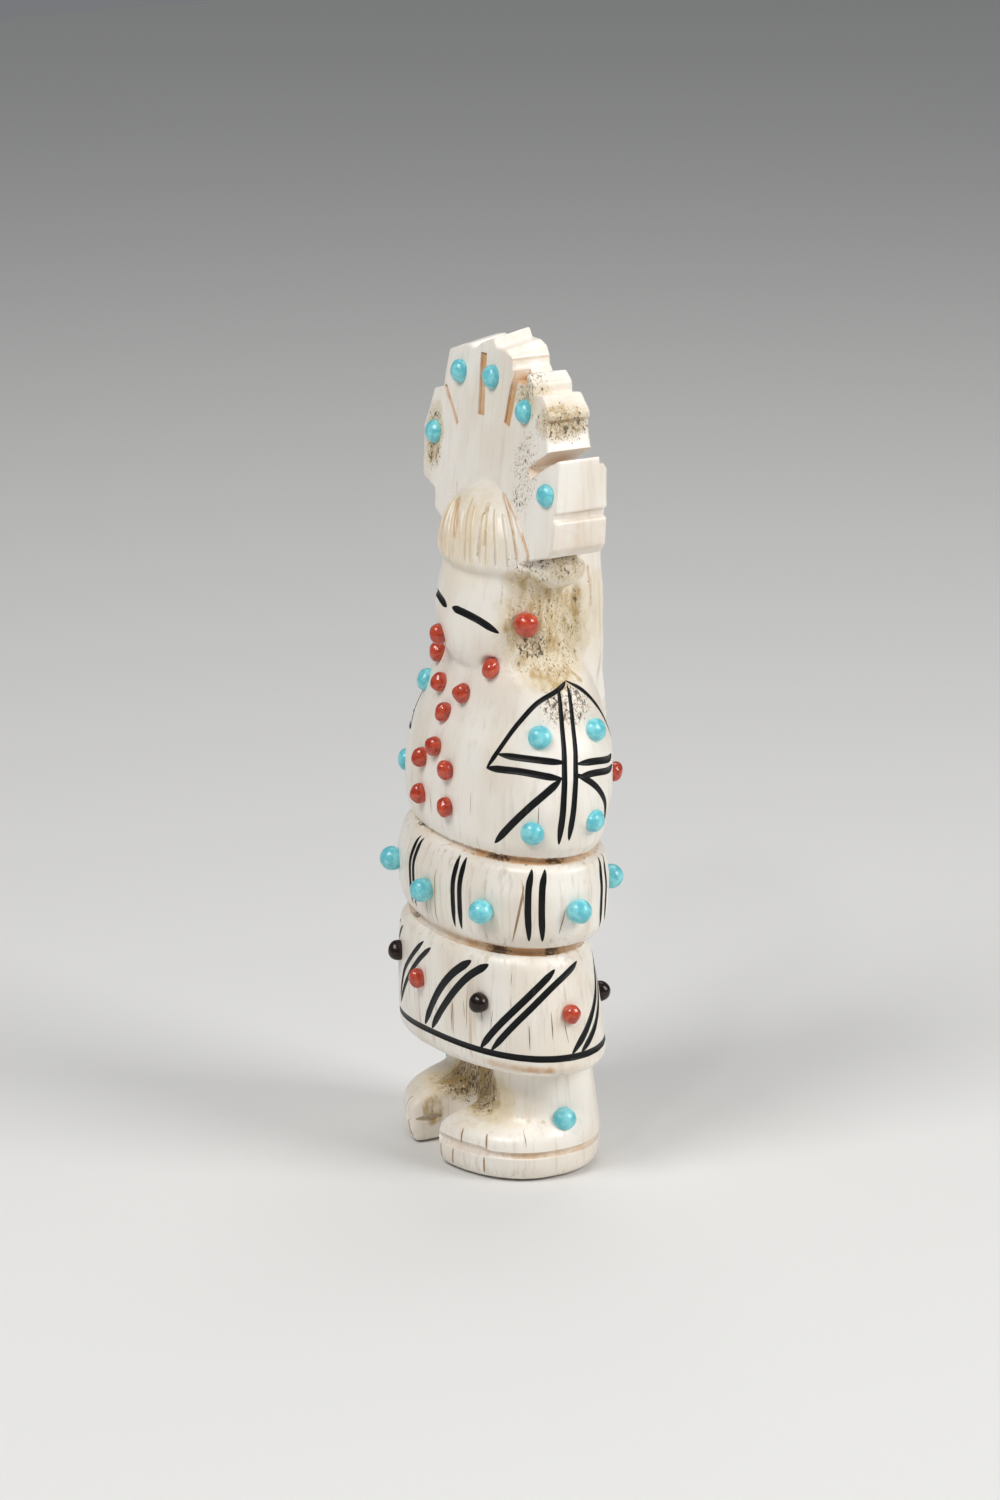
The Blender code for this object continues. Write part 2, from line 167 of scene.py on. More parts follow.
def addNode(tree, kind, **values):
    node = tree.nodes.new("ShaderNode" + kind)
    for name, value in values.items():
        setattr(node, name, value)
    return node


def wire(source, node, socket):
    node.id_data.links.new(source, node.inputs[socket])


def mapped(tree, coords, scale, location=(0, 0, 0)):
    node = addNode(tree, "Mapping")
    setSockets(node, Scale=scale, Location=location)
    wire(coords, node, "Vector")
    return node.outputs["Vector"]


def noiseAt(tree, vector, scale, detail=3.0, roughness=0.5, distortion=0.0):
    node = addNode(tree, "TexNoise")
    setSockets(node, Scale=scale, Detail=detail, Roughness=roughness, Distortion=distortion)
    wire(vector, node, "Vector")
    return node.outputs["Fac"]


def ramped(tree, value, low, high, outLow=0.0, outHigh=1.0):
    node = addNode(tree, "MapRange", clamp=True, interpolation_type="SMOOTHSTEP")
    setSockets(node, From_Min=low, From_Max=high, To_Min=outLow, To_Max=outHigh)
    wire(value, node, "Value")
    return node.outputs["Result"]


def maths(tree, operation, a, b):
    node = addNode(tree, "Math", operation=operation)
    for socket, item in ((0, a), (1, b)):
        if isinstance(item, (int, float)):
            node.inputs[socket].default_value = item
        else:
            wire(item, node, socket)
    return node.outputs["Value"]


def tinted(tree, factor, under, over):
    node = addNode(tree, "Mix", data_type="RGBA")
    wire(factor, node, "Factor")
    for socket, item in ((6, under), (7, over)):
        if isinstance(item, tuple):
            node.inputs[socket].default_value = (*item, 1)
        else:
            wire(item, node, socket)
    return node.outputs[2]


def attributeValue(tree, name):
    node = addNode(tree, "Attribute", attribute_name=name, attribute_type="GEOMETRY")
    return node.outputs["Fac"]


def bumped(tree, shader, height, strength, depth):
    bump = addNode(tree, "Bump")
    setSockets(bump, Strength=strength, Distance=depth)
    wire(height, bump, "Height")
    wire(bump.outputs["Normal"], shader, "Normal")


# the antler's colours, how far each layer covers what is under it, and how fine each pattern is
antlerPlan = {
    "colour": {
        "cream": (0.86, 0.78, 0.67), "ivory": (0.93, 0.88, 0.80), "grain": (0.62, 0.53, 0.42),
        "streak": (0.52, 0.38, 0.24), "ochre": (0.45, 0.285, 0.075), "stain": (0.60, 0.33, 0.125),
        "pit": (0.11, 0.070, 0.038), "porous": (0.74, 0.64, 0.47), "chalk": (0.93, 0.90, 0.84),
        "soot": (0.10, 0.050, 0.022), "stipple": (0.34, 0.25, 0.15), "honey": (0.80, 0.64, 0.38),
    },
    "cover": {"porous": 0.8, "ochre": 0.9, "chalk": 0.7, "stipple": 0.75, "pit": 0.9, "stain": 0.9,
              "soot": 0.9},
    "fineness": {"patches": 150, "grain": 1300, "streak": 760, "clouds": 450, "honey": 900, "ochre": 760,
                 "chalk": 1700, "stipple": 4300, "pit": 2500, "pitPlaces": 600, "soot": 1700},
    "bumpStrength": 0.8, "bumpDepth": 0.00014,
}


def antlerMaterial():
    colour, cover, fineness = antlerPlan["colour"], antlerPlan["cover"], antlerPlan["fineness"]
    material, tree, shader, coords = newMaterial(
        "polishedAntler", Subsurface_Weight=0.05, Subsurface_Scale=0.0008, Coat_Weight=0.1,
        Coat_Roughness=0.2)
    checkZone, porous, specks, crease = (attributeValue(tree, name)
                                         for name in ("checkZone", "porous", "specks", "crease"))

    def drawnOut(name, stretch, offset, *texture):
        # a pattern stretched up the piece
        return noiseAt(tree, mapped(tree, coords, (1, 1, stretch), offset), fineness[name], *texture)

    def plus(a, b):
        return maths(tree, "ADD", a, b)

    def times(a, b):
        return maths(tree, "MULTIPLY", a, b)

    def layer(under, amount, name):
        return tinted(tree, times(amount, cover[name]), under, colour[name])

    patches = drawnOut("patches", 0.5, (0, 0, 0), 2)
    base = tinted(tree, ramped(tree, patches, 0.36, 0.62), colour["cream"], colour["ivory"])

    # fine grain that runs up the piece, heavier low down on the belt, the skirt and the feet
    grain = ramped(tree, drawnOut("grain", 0.05, (0, 0, 0), 5, 0.65), 0.5, 0.7)
    grain = times(grain, ramped(tree, checkZone, 0, 1, 0.2, 0.5))
    base = tinted(tree, grain, base, colour["grain"])
    streaks = ramped(tree, drawnOut("streak", 0.035, (0.3, 0.1, 0), 3, 0.6, 0.2), 0.6, 0.72)
    streaks = times(streaks, ramped(tree, checkZone, 0.15, 1, 0.02, 0.5))
    base = tinted(tree, streaks, base, colour["streak"])

    # porous core: ochre clouds, chalky flecks and small dark pits
    clouds = noiseAt(tree, coords, fineness["clouds"], 4, 0.65)
    field = ramped(tree, plus(porous, clouds), 0.85, 1.25)
    base = layer(base, field, "porous")
    honey = ramped(tree, drawnOut("honey", 0.12, (0.4, 0.4, 0.9), 3, 0.6), 0.3, 0.66, 0.15, 0.6)
    base = tinted(tree, times(attributeValue(tree, "honey"), honey), base, colour["honey"])
    ochreZone = maths(tree, "MAXIMUM", porous, attributeValue(tree, "ochre"))
    ochre = plus(ochreZone, drawnOut("ochre", 0.42, (0.7, 0.2, 0.1), 4, 0.7))
    base = layer(base, ramped(tree, ochre, 1.2, 1.56), "ochre")
    chalk = plus(times(porous, 0.5), drawnOut("chalk", 0.8, (0.1, 0.9, 0.4), 2))
    base = layer(base, ramped(tree, chalk, 1.08, 1.18), "chalk")
    stipple = plus(times(specks, 0.3), drawnOut("stipple", 0.8, (0.2, 0.7, 0.5), 2))
    base = layer(base, ramped(tree, stipple, 0.80, 0.92), "stipple")
    pits = plus(times(specks, 0.32), drawnOut("pit", 0.6, (0.5, 0.3, 0.2), 3, 0.6))
    pits = plus(pits, times(noiseAt(tree, coords, fineness["pitPlaces"], 2), 0.3))
    pits = ramped(tree, pits, 1.03, 1.12)
    base = layer(base, pits, "pit")

    # grooves hold an orange-brown stain, and a few hold soot
    stain = times(crease, ramped(tree, clouds, 0.3, 0.7, 0.6, 1))
    base = layer(base, ramped(tree, stain, 0.1, 0.95), "stain")
    soot = plus(attributeValue(tree, "soot"), drawnOut("soot", 1.3, (0.4, 0.6, 0.8), 3, 0.7))
    base = layer(base, ramped(tree, soot, 1.26, 1.46), "soot")
    wire(base, shader, "Base Color")

    wire(plus(ramped(tree, field, 0, 1, 0.34, 0.62), times(grain, 0.12)), shader, "Roughness")
    sunken = plus(pits, times(plus(grain, streaks), 0.12))
    height = maths(tree, "SUBTRACT", times(times(clouds, field), 0.8), sunken)
    bumped(tree, shader, height, antlerPlan["bumpStrength"], antlerPlan["bumpDepth"])
    return material


def checkMaterial():
    # the brown that fills the hairline checks
    material, tree, shader, coords = newMaterial("checkBrown", Roughness=0.6)
    shade = ramped(tree, noiseAt(tree, mapped(tree, coords, (1, 1, 0.4)), 500, 3), 0.35, 0.65)
    wire(tinted(tree, shade, (0.30, 0.17, 0.075), (0.55, 0.38, 0.21)), shader, "Base Color")
    return material


def stoneMaterial(name, looks):
    material, tree, shader, coords = newMaterial(
        name, Roughness=looks["roughness"], Coat_Weight=looks["coat"], Coat_Roughness=0.05,
        Specular_IOR_Level=looks["shine"])
    cloud = noiseAt(tree, coords, looks["scale"], 3, 0.55, 0.4)
    base = tinted(tree, ramped(tree, cloud, 0.35, 0.68), looks["deep"], looks["pale"])
    vein = maths(tree, "SUBTRACT", noiseAt(tree, coords, looks["scale"] * 0.7, 2), 0.5)
    vein = maths(tree, "ABSOLUTE", vein, 0)
    base = tinted(tree, maths(tree, "MULTIPLY", ramped(tree, vein, 0, 0.02, 1, 0), looks["veins"]), base,
                  looks["vein"])
    wire(base, shader, "Base Color")
    bumped(tree, shader, cloud, 0.25, 0.00006)
    return material


def inkMaterial():
    material, tree, shader, coords = newMaterial("blackInk", Roughness=0.5, Specular_IOR_Level=0.22)
    worn = ramped(tree, noiseAt(tree, mapped(tree, coords, (1, 1, 0.3)), 1800, 4, 0.6), 0.56, 0.8)
    faded = maths(tree, "MULTIPLY", worn, 0.3)
    wire(tinted(tree, faded, (0.005, 0.005, 0.0055), (0.08, 0.072, 0.064)), shader, "Base Color")
    wire(ramped(tree, worn, 0, 1, 0.42, 0.65), shader, "Roughness")
    return material


stoneLooks = {
    "turquoise": {"deep": (0.12, 0.53, 0.61), "pale": (0.28, 0.75, 0.79), "vein": (0.12, 0.38, 0.40),
                  "veins": 0.25, "scale": 900, "roughness": 0.28, "coat": 0.3, "shine": 0.5},
    "coral": {"deep": (0.40, 0.030, 0.012), "pale": (0.60, 0.078, 0.030), "vein": (0.68, 0.18, 0.10),
              "veins": 0.35, "scale": 1100, "roughness": 0.2, "coat": 0.9, "shine": 0.3},
    "jet": {"deep": (0.008, 0.004, 0.003), "pale": (0.024, 0.011, 0.007), "vein": (0.05, 0.03, 0.02),
            "veins": 0.3, "scale": 900, "roughness": 0.25, "coat": 0.4, "shine": 0.15},
}
antler = antlerMaterial()
checkBrown = checkMaterial()
ink = inkMaterial()
stones = {name: stoneMaterial(name + "Stone", looks) for name, looks in stoneLooks.items()}
print("materials made")


# where each bead sits: its base is the flat end, and it stands out the other way

baseSink = 0.45 * mm     # the base lies this far under the surface


def beadPlace(node):
    mesh = frame["nodes"][node].data
    sums = {}
    for face in mesh.polygons:
        key = tuple(round(n, 2) for n in face.normal)
        area, centre, normal = sums.get(key, (0, Vector(), face.normal))
        sums[key] = (area + face.area, centre + face.center * face.area, normal)
    area, centre, normal = max(sums.values(), key=lambda item: item[0])
    outward = -normal.normalized()
    return centre / area + outward * baseSink, outward


beadNodes = sorted(name for name in frame["nodes"] if "bead" in name)
beadPlaces = {name: beadPlace(name) for name in beadNodes}


# the carving

carvingPlan = {
    "voxel": 0.35 * mm, "seatRadius": 1.74 * mm, "seatDepth": 0.9 * mm, "seatTop": -0.06 * mm,
    "bendRounds": 20, "bendKept": (0.05, 0.13), "keepReach": 3,
    "softRounds": 34, "footRounds": 60, "edgeRounds": 1,
    "dome": {"at": (0.3, -1.0, 77.5), "size": (10.4, 8.2, 8.6), "clear": 0.4, "soft": 0.8},
    "feetSoft": (0.4, 9.5), "feetSofter": (11.0, 13.2),
    "lump": {"at": (10.6, 1.2, 74.8), "size": (2.3, 3.6, 2.25)},     # under the lowest ray
    "creaseAngle": 38, "creaseRounds": 14, "triangles": 190000,
}

# the headdress is shaped on its own: five rays with stepped ends, clockwise from the foot on her right
rayOutline = [
    (-7.5, 76.4), (-9.9, 77.1), (-11.8, 77.9), (-12.3, 80.3), (-15.5, 81.3), (-16.2, 87.2), (-15.5, 89),
    (-14.6, 91.9), (-12.3, 92.6), (-12.2, 94.5), (-11.7, 97.2), (-9.2, 99), (-7.3, 99.5), (-6, 99.2),
    (-4.6, 100.1), (-1.6, 101.2), (-0.9, 100.3), (1.2, 100.3), (2.6, 99.9), (3.3, 98.9), (3.5, 97.9),
    (4.2, 97.1), (7.4, 97.8), (8.7, 96.9), (8.9, 95.6), (11, 95.9), (13.1, 94.1), (13.1, 93.4), (12.7, 93.1),
    (12.9, 91.6), (13.5, 90), (15.3, 89), (15.7, 83.1), (15.1, 82.9), (15.1, 82), (15.7, 81.8),
    (15.6, 78.7), (14.6, 77.6), (11, 76.5), (8.5, 75.4),
]
headdressPlan = {
    "lean": 6, "front": -2.15, "leanFrom": 86, "foot": 77.2, "top": 101.2, "thickFoot": 6.6, "thickTop": 4.7,
    "lowRays": {"outside": 14, "below": 91, "back": 0.6, "thicker": 0.5},
    "crest": {"above": 98.4, "within": 2.8, "slope": 0.9},
    "edge": 0.16, "edgeAngle": 28, "grow": 0.1,
    "grid": 0.6, "gridStart": 0.13, "gridRoom": {0: (-16, 16), 2: (75, 101), 1: (-4, 7)}, "boxCuts": 11,
    "unevenness": 0.05, "waves": ((0.45, 1.0), (1.3, 0.4)),
}

# boxes: middle, size and turn (degrees about X, Y and Z)
slabRoom = [
    ((0, 0, 95), (44, 44, 20.2)),
    ((0, 8.45, 83.2), (44, 20, 5.2)),
    ((15.3, 0, 79.2), (10, 44, 12)),
    ((-14.8, 0, 80.2), (10.2, 44, 10)),
]
rayChips = [
    ((15.6, -3.1, 84), (3, 1.5, 20), (-6, 0, 30)),
    ((16.4, -2.6, 84), (3, 1.5, 20), (-6, 0, 60)),
    ((14.6, 5.7, 89.3), (5, 3.4, 2)),
    ((15.6, 5.6, 88), (3, 1.6, 2.2), (30, 0, 0)),
]
# these are cut in two goes, and a box ends with how stained the cut is
rayCuts = [
    [((-10.1, -1.7, 90.9), (0.6, 0.6, 5.4), (-6, -42, 0), 0.38),
     ((-3.25, -1.3, 94.7), (1.5, 0.8, 7.4), (-6, -5.5, 0), 0.38),
     ((4.1, -1.3, 94.9), (1.6, 0.8, 7.8), (-6, 11.3, 0), 0.38),
     ((13.6, 1.8, 89), (8.9, 14, 1.5), (0, -31.8, 0), 0.46)],
    [((5.5, -0.55, 97.6), (3.3, 3.6, 2.4), (0, 0, 0), 0.38),
     ((3.75, 2, 98.75), (0.9, 12, 0.34), (0, 0, 0), 0.38),
     ((13.15, 1.5, 93.3), (0.8, 12, 0.4), (0, 0, 0), 0.38)],
]


def sinkPlugs(body):
    # fills the drilled seats, since the finer beads sit tight in the surface
    plugs = []
    for point, outward in beadPlaces.values():
        depth = carvingPlan["seatDepth"] + carvingPlan["seatTop"]
        middle = point + outward * (carvingPlan["seatTop"] - depth / 2)
        turn = outward.to_track_quat("Z", "Y").to_euler()
        plugs.append(added(bpy.ops.mesh.primitive_cylinder_add, vertices=24, depth=depth, location=middle,
                           radius=carvingPlan["seatRadius"], rotation=turn))
    combine(body, joined(plugs, "plugs"), "UNION")


def turned(angles):
    return Euler([math.radians(angle) for angle in angles])


def boxAt(middle, size, angles=(0, 0, 0)):
    return added(bpy.ops.mesh.primitive_cube_add, size=1, location=Vector(middle) * mm,
                 scale=Vector(size) * mm, rotation=turned(angles))


def frontFace(z):
    # where the headdress's front face stands at a height, in mm
    plan = headdressPlan
    return plan["front"] + math.tan(math.radians(plan["lean"])) * (z - plan["leanFrom"])


def shapeHeaddress():
    # the outline is extruded back, leaned and thinned, then its edges are broken
    plan = headdressPlan
    lowRays, crest = plan["lowRays"], plan["crest"]
    slab = added(bpy.ops.mesh.primitive_circle_add, vertices=len(rayOutline), radius=mm, fill_type="NGON")
    for vertex, (x, z) in zip(slab.data.vertices, rayOutline):
        vertex.co = (x * mm, 0, z * mm)
    editAll(slab)
    bpy.ops.mesh.extrude_region_move(TRANSFORM_OT_translate={"value": (0, mm, 0)})
    bpy.ops.mesh.select_all(action="SELECT")
    bpy.ops.mesh.normals_make_consistent(inside=False)
    leaveEdit()
    for vertex in slab.data.vertices:
        x, share, z = vertex.co / mm
        rise = (z - plan["foot"]) / (plan["top"] - plan["foot"])
        front, thick = frontFace(z), plan["thickFoot"] + (plan["thickTop"] - plan["thickFoot"]) * rise
        if x > lowRays["outside"] and z < lowRays["below"]:
            front, thick = front + lowRays["back"], thick + lowRays["thicker"]
        if share < 0.5 and z > crest["above"] and x < crest["within"]:
            z -= crest["slope"]
        vertex.co = (x * mm, (front + thick * share) * mm, z * mm)
    addModifier(slab, "BEVEL", width=plan["edge"] * mm, segments=2, limit_method="ANGLE",
                angle_limit=math.radians(plan["edgeAngle"]))
    editAll(slab)
    bpy.ops.transform.shrink_fatten(value=plan["grow"] * mm, use_even_offset=True)
    leaveEdit()
    for chip in rayChips:
        combine(slab, boxAt(*chip), "DIFFERENCE")
    editAll(slab)
    for axis, (low, high) in plan["gridRoom"].items():
        for step in range(int((high - low) / plan["grid"]) + 1):
            spot, across = Vector(), Vector()
            spot[axis], across[axis] = (low + plan["grid"] * step + plan["gridStart"]) * mm, 1
            bpy.ops.mesh.select_all(action="SELECT")
            bpy.ops.mesh.bisect(plane_co=spot, plane_no=across)
    leaveEdit()
    for vertex in slab.data.vertices:
        wave = sum(share * noise.noise(vertex.co / mm * scale) for scale, share in plan["waves"])
        vertex.co += vertex.normal * wave * plan["unevenness"] * mm
    print("headdress shaped", len(slab.data.polygons))
    return slab


def copied(obj):
    copy = obj.copy()
    copy.data = obj.data.copy()
    bpy.context.scene.collection.objects.link(copy)
    return copy


def smoothedPoints(obj, rounds):
    copy = copied(obj)
    addModifier(copy, "SMOOTH", factor=0.5, iterations=rounds)
    points = readPoints(copy)
    bpy.data.objects.remove(copy)
    return points


def hollowness(obj, rounds):
    # how far each point lies under the smoothed surface, in mm
    normals = readPoints(obj, "normal")
    return ((smoothedPoints(obj, rounds) - readPoints(obj)) * normals).sum(1) / mm


def smoothWhere(body, amount, rounds):
    group = body.vertex_groups.new(name="soft")
    for share in range(1, 11):
        members = np.flatnonzero((amount > (share - 1) / 10) & (amount <= share / 10))
        group.add(members.tolist(), share / 10, "REPLACE")
    addModifier(body, "SMOOTH", factor=0.5, iterations=rounds, vertex_group="soft")
    body.vertex_groups.clear()


def carveBody():
    plan = carvingPlan
    body = copied(frame["nodes"]["carving"])
    body.parent = None
    body.name = "antlerFigure"
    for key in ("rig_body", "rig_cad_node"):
        if key in body:
            del body[key]
    editAll(body)
    bpy.ops.mesh.remove_doubles(threshold=0.000001)
    leaveEdit()
    sinkPlugs(body)
    for box in slabRoom:
        combine(body, boxAt(*box), "DIFFERENCE")
    ball, lump = added(bpy.ops.mesh.primitive_uv_sphere_add, radius=mm), plan["lump"]
    ball.data.transform(Matrix.Translation(Vector(lump["at"]) * mm) @ Matrix.Diagonal((*lump["size"], 1)))
    combine(body, ball, "UNION")
    addModifier(body, "REMESH", mode="VOXEL", voxel_size=plan["voxel"], use_smooth_shade=True)
    print("remeshed", len(body.data.polygons))

    # smooth the broad polished faces hard, and only ease the edges
    bend = np.abs(hollowness(body, plan["bendRounds"]))
    edges = np.empty(len(body.data.edges) * 2, np.int32)
    body.data.edges.foreach_get("vertices", edges)
    a, b = edges.reshape(-1, 2).T
    for _ in range(plan["keepReach"]):
        spread = bend.copy()
        np.maximum.at(spread, a, bend[b])
        np.maximum.at(spread, b, bend[a])
        bend = spread
    soft = 1 - smoothStep(*plan["bendKept"], bend)
    points = readPoints(body) / mm
    y, z = points.T[1:]
    dome, (sole, instep) = plan["dome"], plan["feetSoft"]
    inDome = np.linalg.norm((points - dome["at"]) / dome["size"], axis=1) < 1
    soft[inDome & (y < frontFace(z) - dome["clear"])] = dome["soft"]
    soft[(z < instep) & (z > sole)] = 1
    smoothWhere(body, soft, plan["softRounds"])
    smoothWhere(body, 1 - smoothStep(*plan["feetSofter"], z), plan["footRounds"])
    addModifier(body, "SMOOTH", factor=0.5, iterations=plan["edgeRounds"])
    points = readPoints(body)
    points[:, 2] = np.maximum(points[:, 2], 0)
    writePoints(body, points)
    combine(body, shapeHeaddress(), "UNION")
    return body


figure = carveBody()
print("carving smoothed")


# strokes: each follows a list of (angle round the body, height in mm); 0 is her front, 90 her left

strokePlan = {
    "inkDepth": 0.17, "toeDepth": 0.14, "checkDepth": 0.12, "soleDepth": 0.34, "fringeDepth": 0.2,
    "hairDepth": 0.16, "ringDepth": 0.45,
    "inkTaper": (2, 2), "eyeTaper": (1.2, 1.6), "toeTaper": (0.5, 0.5), "checkTaper": (2.5, 2.5),
    "soleTaper": (1.5, 1.5), "fringeTaper": (2.5, 1), "hairTaper": (3, 3),
    "hemWidth": 0.88, "underCape": (40.65, 0.8), "underBelt": (29.12, 0.85),    # rings: height and width
    "roundness": 0.6, "inkThick": 0.06, "inkLift": 0.05, "apart": 1.5,    # closer ones are cut in turn
    "inkMargin": 0.12, "passUnder": 0.35,    # where a hairline meets ink
    "farOut": 40, "roughSteps": 12, "fewest": 6, "easings": 3, "ringPoints": 300,
    "cutterFloor": (-1, -0.75, -0.4, 0, 0.4, 0.75, 1),
    "cutterTop": [(1.3, 0.45), (0.4, 0.5), (-0.4, 0.5), (-1.3, 0.45)],
    "inkFloor": (-0.93, -0.7, -0.35, 0, 0.35, 0.7, 0.93),
}


def surfacePoint(body, angle, height, inside=None):
    # seen from outside towards the middle, or outwards from a place between the feet
    a = math.radians(angle)
    outward = Vector((math.sin(a), -math.cos(a), 0))
    start, heading = outward * strokePlan["farOut"] * mm + Vector((0, 0, height * mm)), -outward
    if inside:
        start, heading = Vector((*inside, height)) * mm, outward
    return body.ray_cast(start, heading)[1:3]


def strokeLine(body, guide, inside=None, spacing=0.3):
    # a smooth run through the guide points, laid on the surface
    def between(points, t):
        last = len(points) - 1
        i = min(int(t * last), last - 1)
        f = t * last - i
        p = [np.array(points[max(0, min(last, k))], float) for k in (i - 1, i, i + 1, i + 2)]
        return 0.5 * (2 * p[1] + (p[2] - p[0]) * f + (2 * p[0] - 5 * p[1] + 4 * p[2] - p[3]) * f ** 2
                      + (3 * p[1] - p[0] - 3 * p[2] + p[3]) * f ** 3)
    steps = strokePlan["roughSteps"]
    rough = [surfacePoint(body, *between(guide, k / steps), inside)[0] for k in range(steps + 1)]
    length = sum((b - a).length for a, b in zip(rough, rough[1:])) / mm
    count = max(strokePlan["fewest"], round(length / spacing))
    points, normals = zip(*(surfacePoint(body, *between(guide, k / count), inside) for k in range(count + 1)))
    for _ in range(strokePlan["easings"]):
        eased = [(a + b * 2 + c) / 4 for a, b, c in zip(points, points[1:], points[2:])]
        points = [points[0], *eased, points[-1]]
        eased = [(a + b + c).normalized() for a, b, c in zip(normals, normals[1:], normals[2:])]
        normals = [normals[0], *eased, normals[-1]]
    return points, normals, length


def widthAlong(t, length, startTaper, endTaper):
    # the share of its full width that a stroke has near its pointed ends
    reach = min(t * length / startTaper, (1 - t) * length / endTaper, 1)
    return reach ** strokePlan["roundness"]


def spindle(name, line, width, taper, closed, profile):
    # a grid wrapped round the line; profile gives (across, height) pairs for a local width
    points, normals, length = line
    count, sides = len(points), len(profile(1.0))
    obj = added(bpy.ops.mesh.primitive_grid_add, x_subdivisions=sides, size=mm,
                y_subdivisions=count - (not closed))
    obj.name = name
    spots = []
    for k in range(count + (1 if closed else 0)):
        here = k % count
        before, after = (here - 1) % count, (here + 1) % count
        if not closed:
            before, after = max(here - 1, 0), min(here + 1, count - 1)
        run = (points[after] - points[before]).normalized()
        side = run.cross(normals[here]).normalized()
        share = 1.0 if closed else widthAlong(here / (count - 1), length, *taper)
        ring = profile(share)
        wide = float(np.interp(here / (count - 1), [0, 1], width))
        for across, height in ring + ring[:1]:
            spots.append(points[here] + side * across * wide / 2 * mm + normals[here] * height * mm)
    writePoints(obj, [tuple(s) for s in spots])
    editAll(obj)
    bpy.ops.mesh.remove_doubles(threshold=0.000002)
    bpy.ops.mesh.normals_make_consistent(inside=False)
    leaveEdit()
    return obj


def floorOf(depth, share, steps):
    # a groove's rounded floor: (across, height) pairs
    return [(s, -depth * math.sqrt(share) * (1 - s * s) ** strokePlan["roundness"]) for s in steps]


def grooveProfile(depth):
    def profile(share):
        floor = floorOf(depth, share, strokePlan["cutterFloor"])
        return [(s * share, h * (1 if h < 0 else share)) for s, h in floor + strokePlan["cutterTop"]]
    return profile


def inkProfile(depth):
    def profile(share):
        floor = floorOf(depth, share, strokePlan["inkFloor"])
        low = [(s * share, h - strokePlan["inkThick"] * share) for s, h in floor]
        high = [(s * share, h + strokePlan["inkLift"] * share) for s, h in floor]
        return low + high[::-1]
    return profile


def closedRing(body, heightAt):
    # a ring has no ends to taper, so no length either
    turns = [360 * k / strokePlan["ringPoints"] for k in range(strokePlan["ringPoints"])]
    points, normals = zip(*(surfacePoint(body, turn, heightAt(turn)) for turn in turns))
    return points, normals, None


def mirrored(strokes):
    return [([(-angle, height) for angle, height in guide], *rest) for guide, *rest in strokes]


# a stroke is its guide, its width (mm) and, for some, what is its own, such as a depth
# her left cape panel: an arch, two uprights, and bars that cross them
capePanel = [
    ([(96, 61.6), (91, 60.9), (79, 59.5), (70, 57.4), (62.5, 55.3), (55.5, 53.1), (50.5, 51.4)], 0.64),
    ([(96, 61.7), (105, 60.3), (113, 58.4), (122, 56), (128, 53.4), (131, 51.6)], 0.58),
    ([(90.5, 61.2), (89.4, 58.6), (88.1, 55), (86.5, 52), (84.6, 47.6), (83.2, 43)], 0.46,
     {"endWidth": 0.88}),
    ([(96, 61.3), (94.8, 58.3), (93.4, 54.9), (91.2, 51.6), (88.8, 47.2), (87.4, 43.4)], 0.46,
     {"endWidth": 0.82}),
    ([(57, 53.3), (73.5, 53.2), (87.6, 52.8)], 0.86),
    ([(50.5, 51.5), (69, 51.7), (85.6, 51)], 0.9),
    ([(92.3, 52.5), (101, 52.4), (113.7, 51.8), (120, 51.9)], 0.9),
    ([(91.5, 51), (100, 51.1), (112, 50.6), (120, 50.6)], 0.86),
    ([(84.6, 51), (71, 47.5), (55.6, 42.5)], 0.94),
    ([(90.5, 51.5), (96.8, 50.4), (102.5, 48.9), (107, 46.9), (110, 44)], 0.84),
]
beltPairs = {"at": (-19.5, 32.5, 73.6, 109, 158, 202, 246, 289), "halfGap": 2.7, "width": 0.84}
beltStrokes = []
for pair in beltPairs["at"]:
    for turn in (pair - beltPairs["halfGap"], pair + beltPairs["halfGap"]):
        guide = [(turn + 2, 39.9), (turn, 37.6), (turn - 0.3, 34.5), (turn + 0.4, 31)]
        beltStrokes.append((guide, beltPairs["width"]))
skirtStrokes = [
    ([(-2, 27.6), (-19, 24.7), (-34, 21.6), (-45, 17.6)], 0.7),
    ([(7.5, 27.3), (-11, 24.4), (-30, 20.7), (-45, 16.9)], 0.74),
    ([(43, 27.6), (28.6, 25.1), (13.4, 21.6), (-3.5, 16.9)], 1.08),
    ([(53, 27.6), (40.5, 25.4), (23.6, 21.3), (5.7, 16.9)], 1.02),
    ([(83, 27.3), (72, 24.5), (58.5, 20.4), (48.5, 16.9)], 0.91),
    ([(95.5, 27.6), (81, 25.2), (67.4, 21.4), (54.3, 16.9)], 0.84),
    ([(119, 27.4), (109, 23.2), (101, 20.8), (88, 16.9)], 0.95),
    ([(126, 26.6), (112, 22), (103, 19.4), (92.5, 16.9)], 0.9),
]
for top in (176, 228, 274, 314):
    skirtStrokes += [
        ([(top, 27.5), (top - 14, 24.6), (top - 28, 20.8), (top - 38, 16.9)], 0.73),
        ([(top + 9, 27.4), (top - 6, 24.2), (top - 20, 20.4), (top - 31, 16.9)], 0.7),
    ]
eyeStrokes = [
    ([(6, 69.1), (24, 68.9), (40.6, 68.3), (56.5, 67)], 0.96),
    ([(-1.5, 68.9), (-17, 69.4), (-31, 69.6), (-50, 69.3)], 0.96),
]
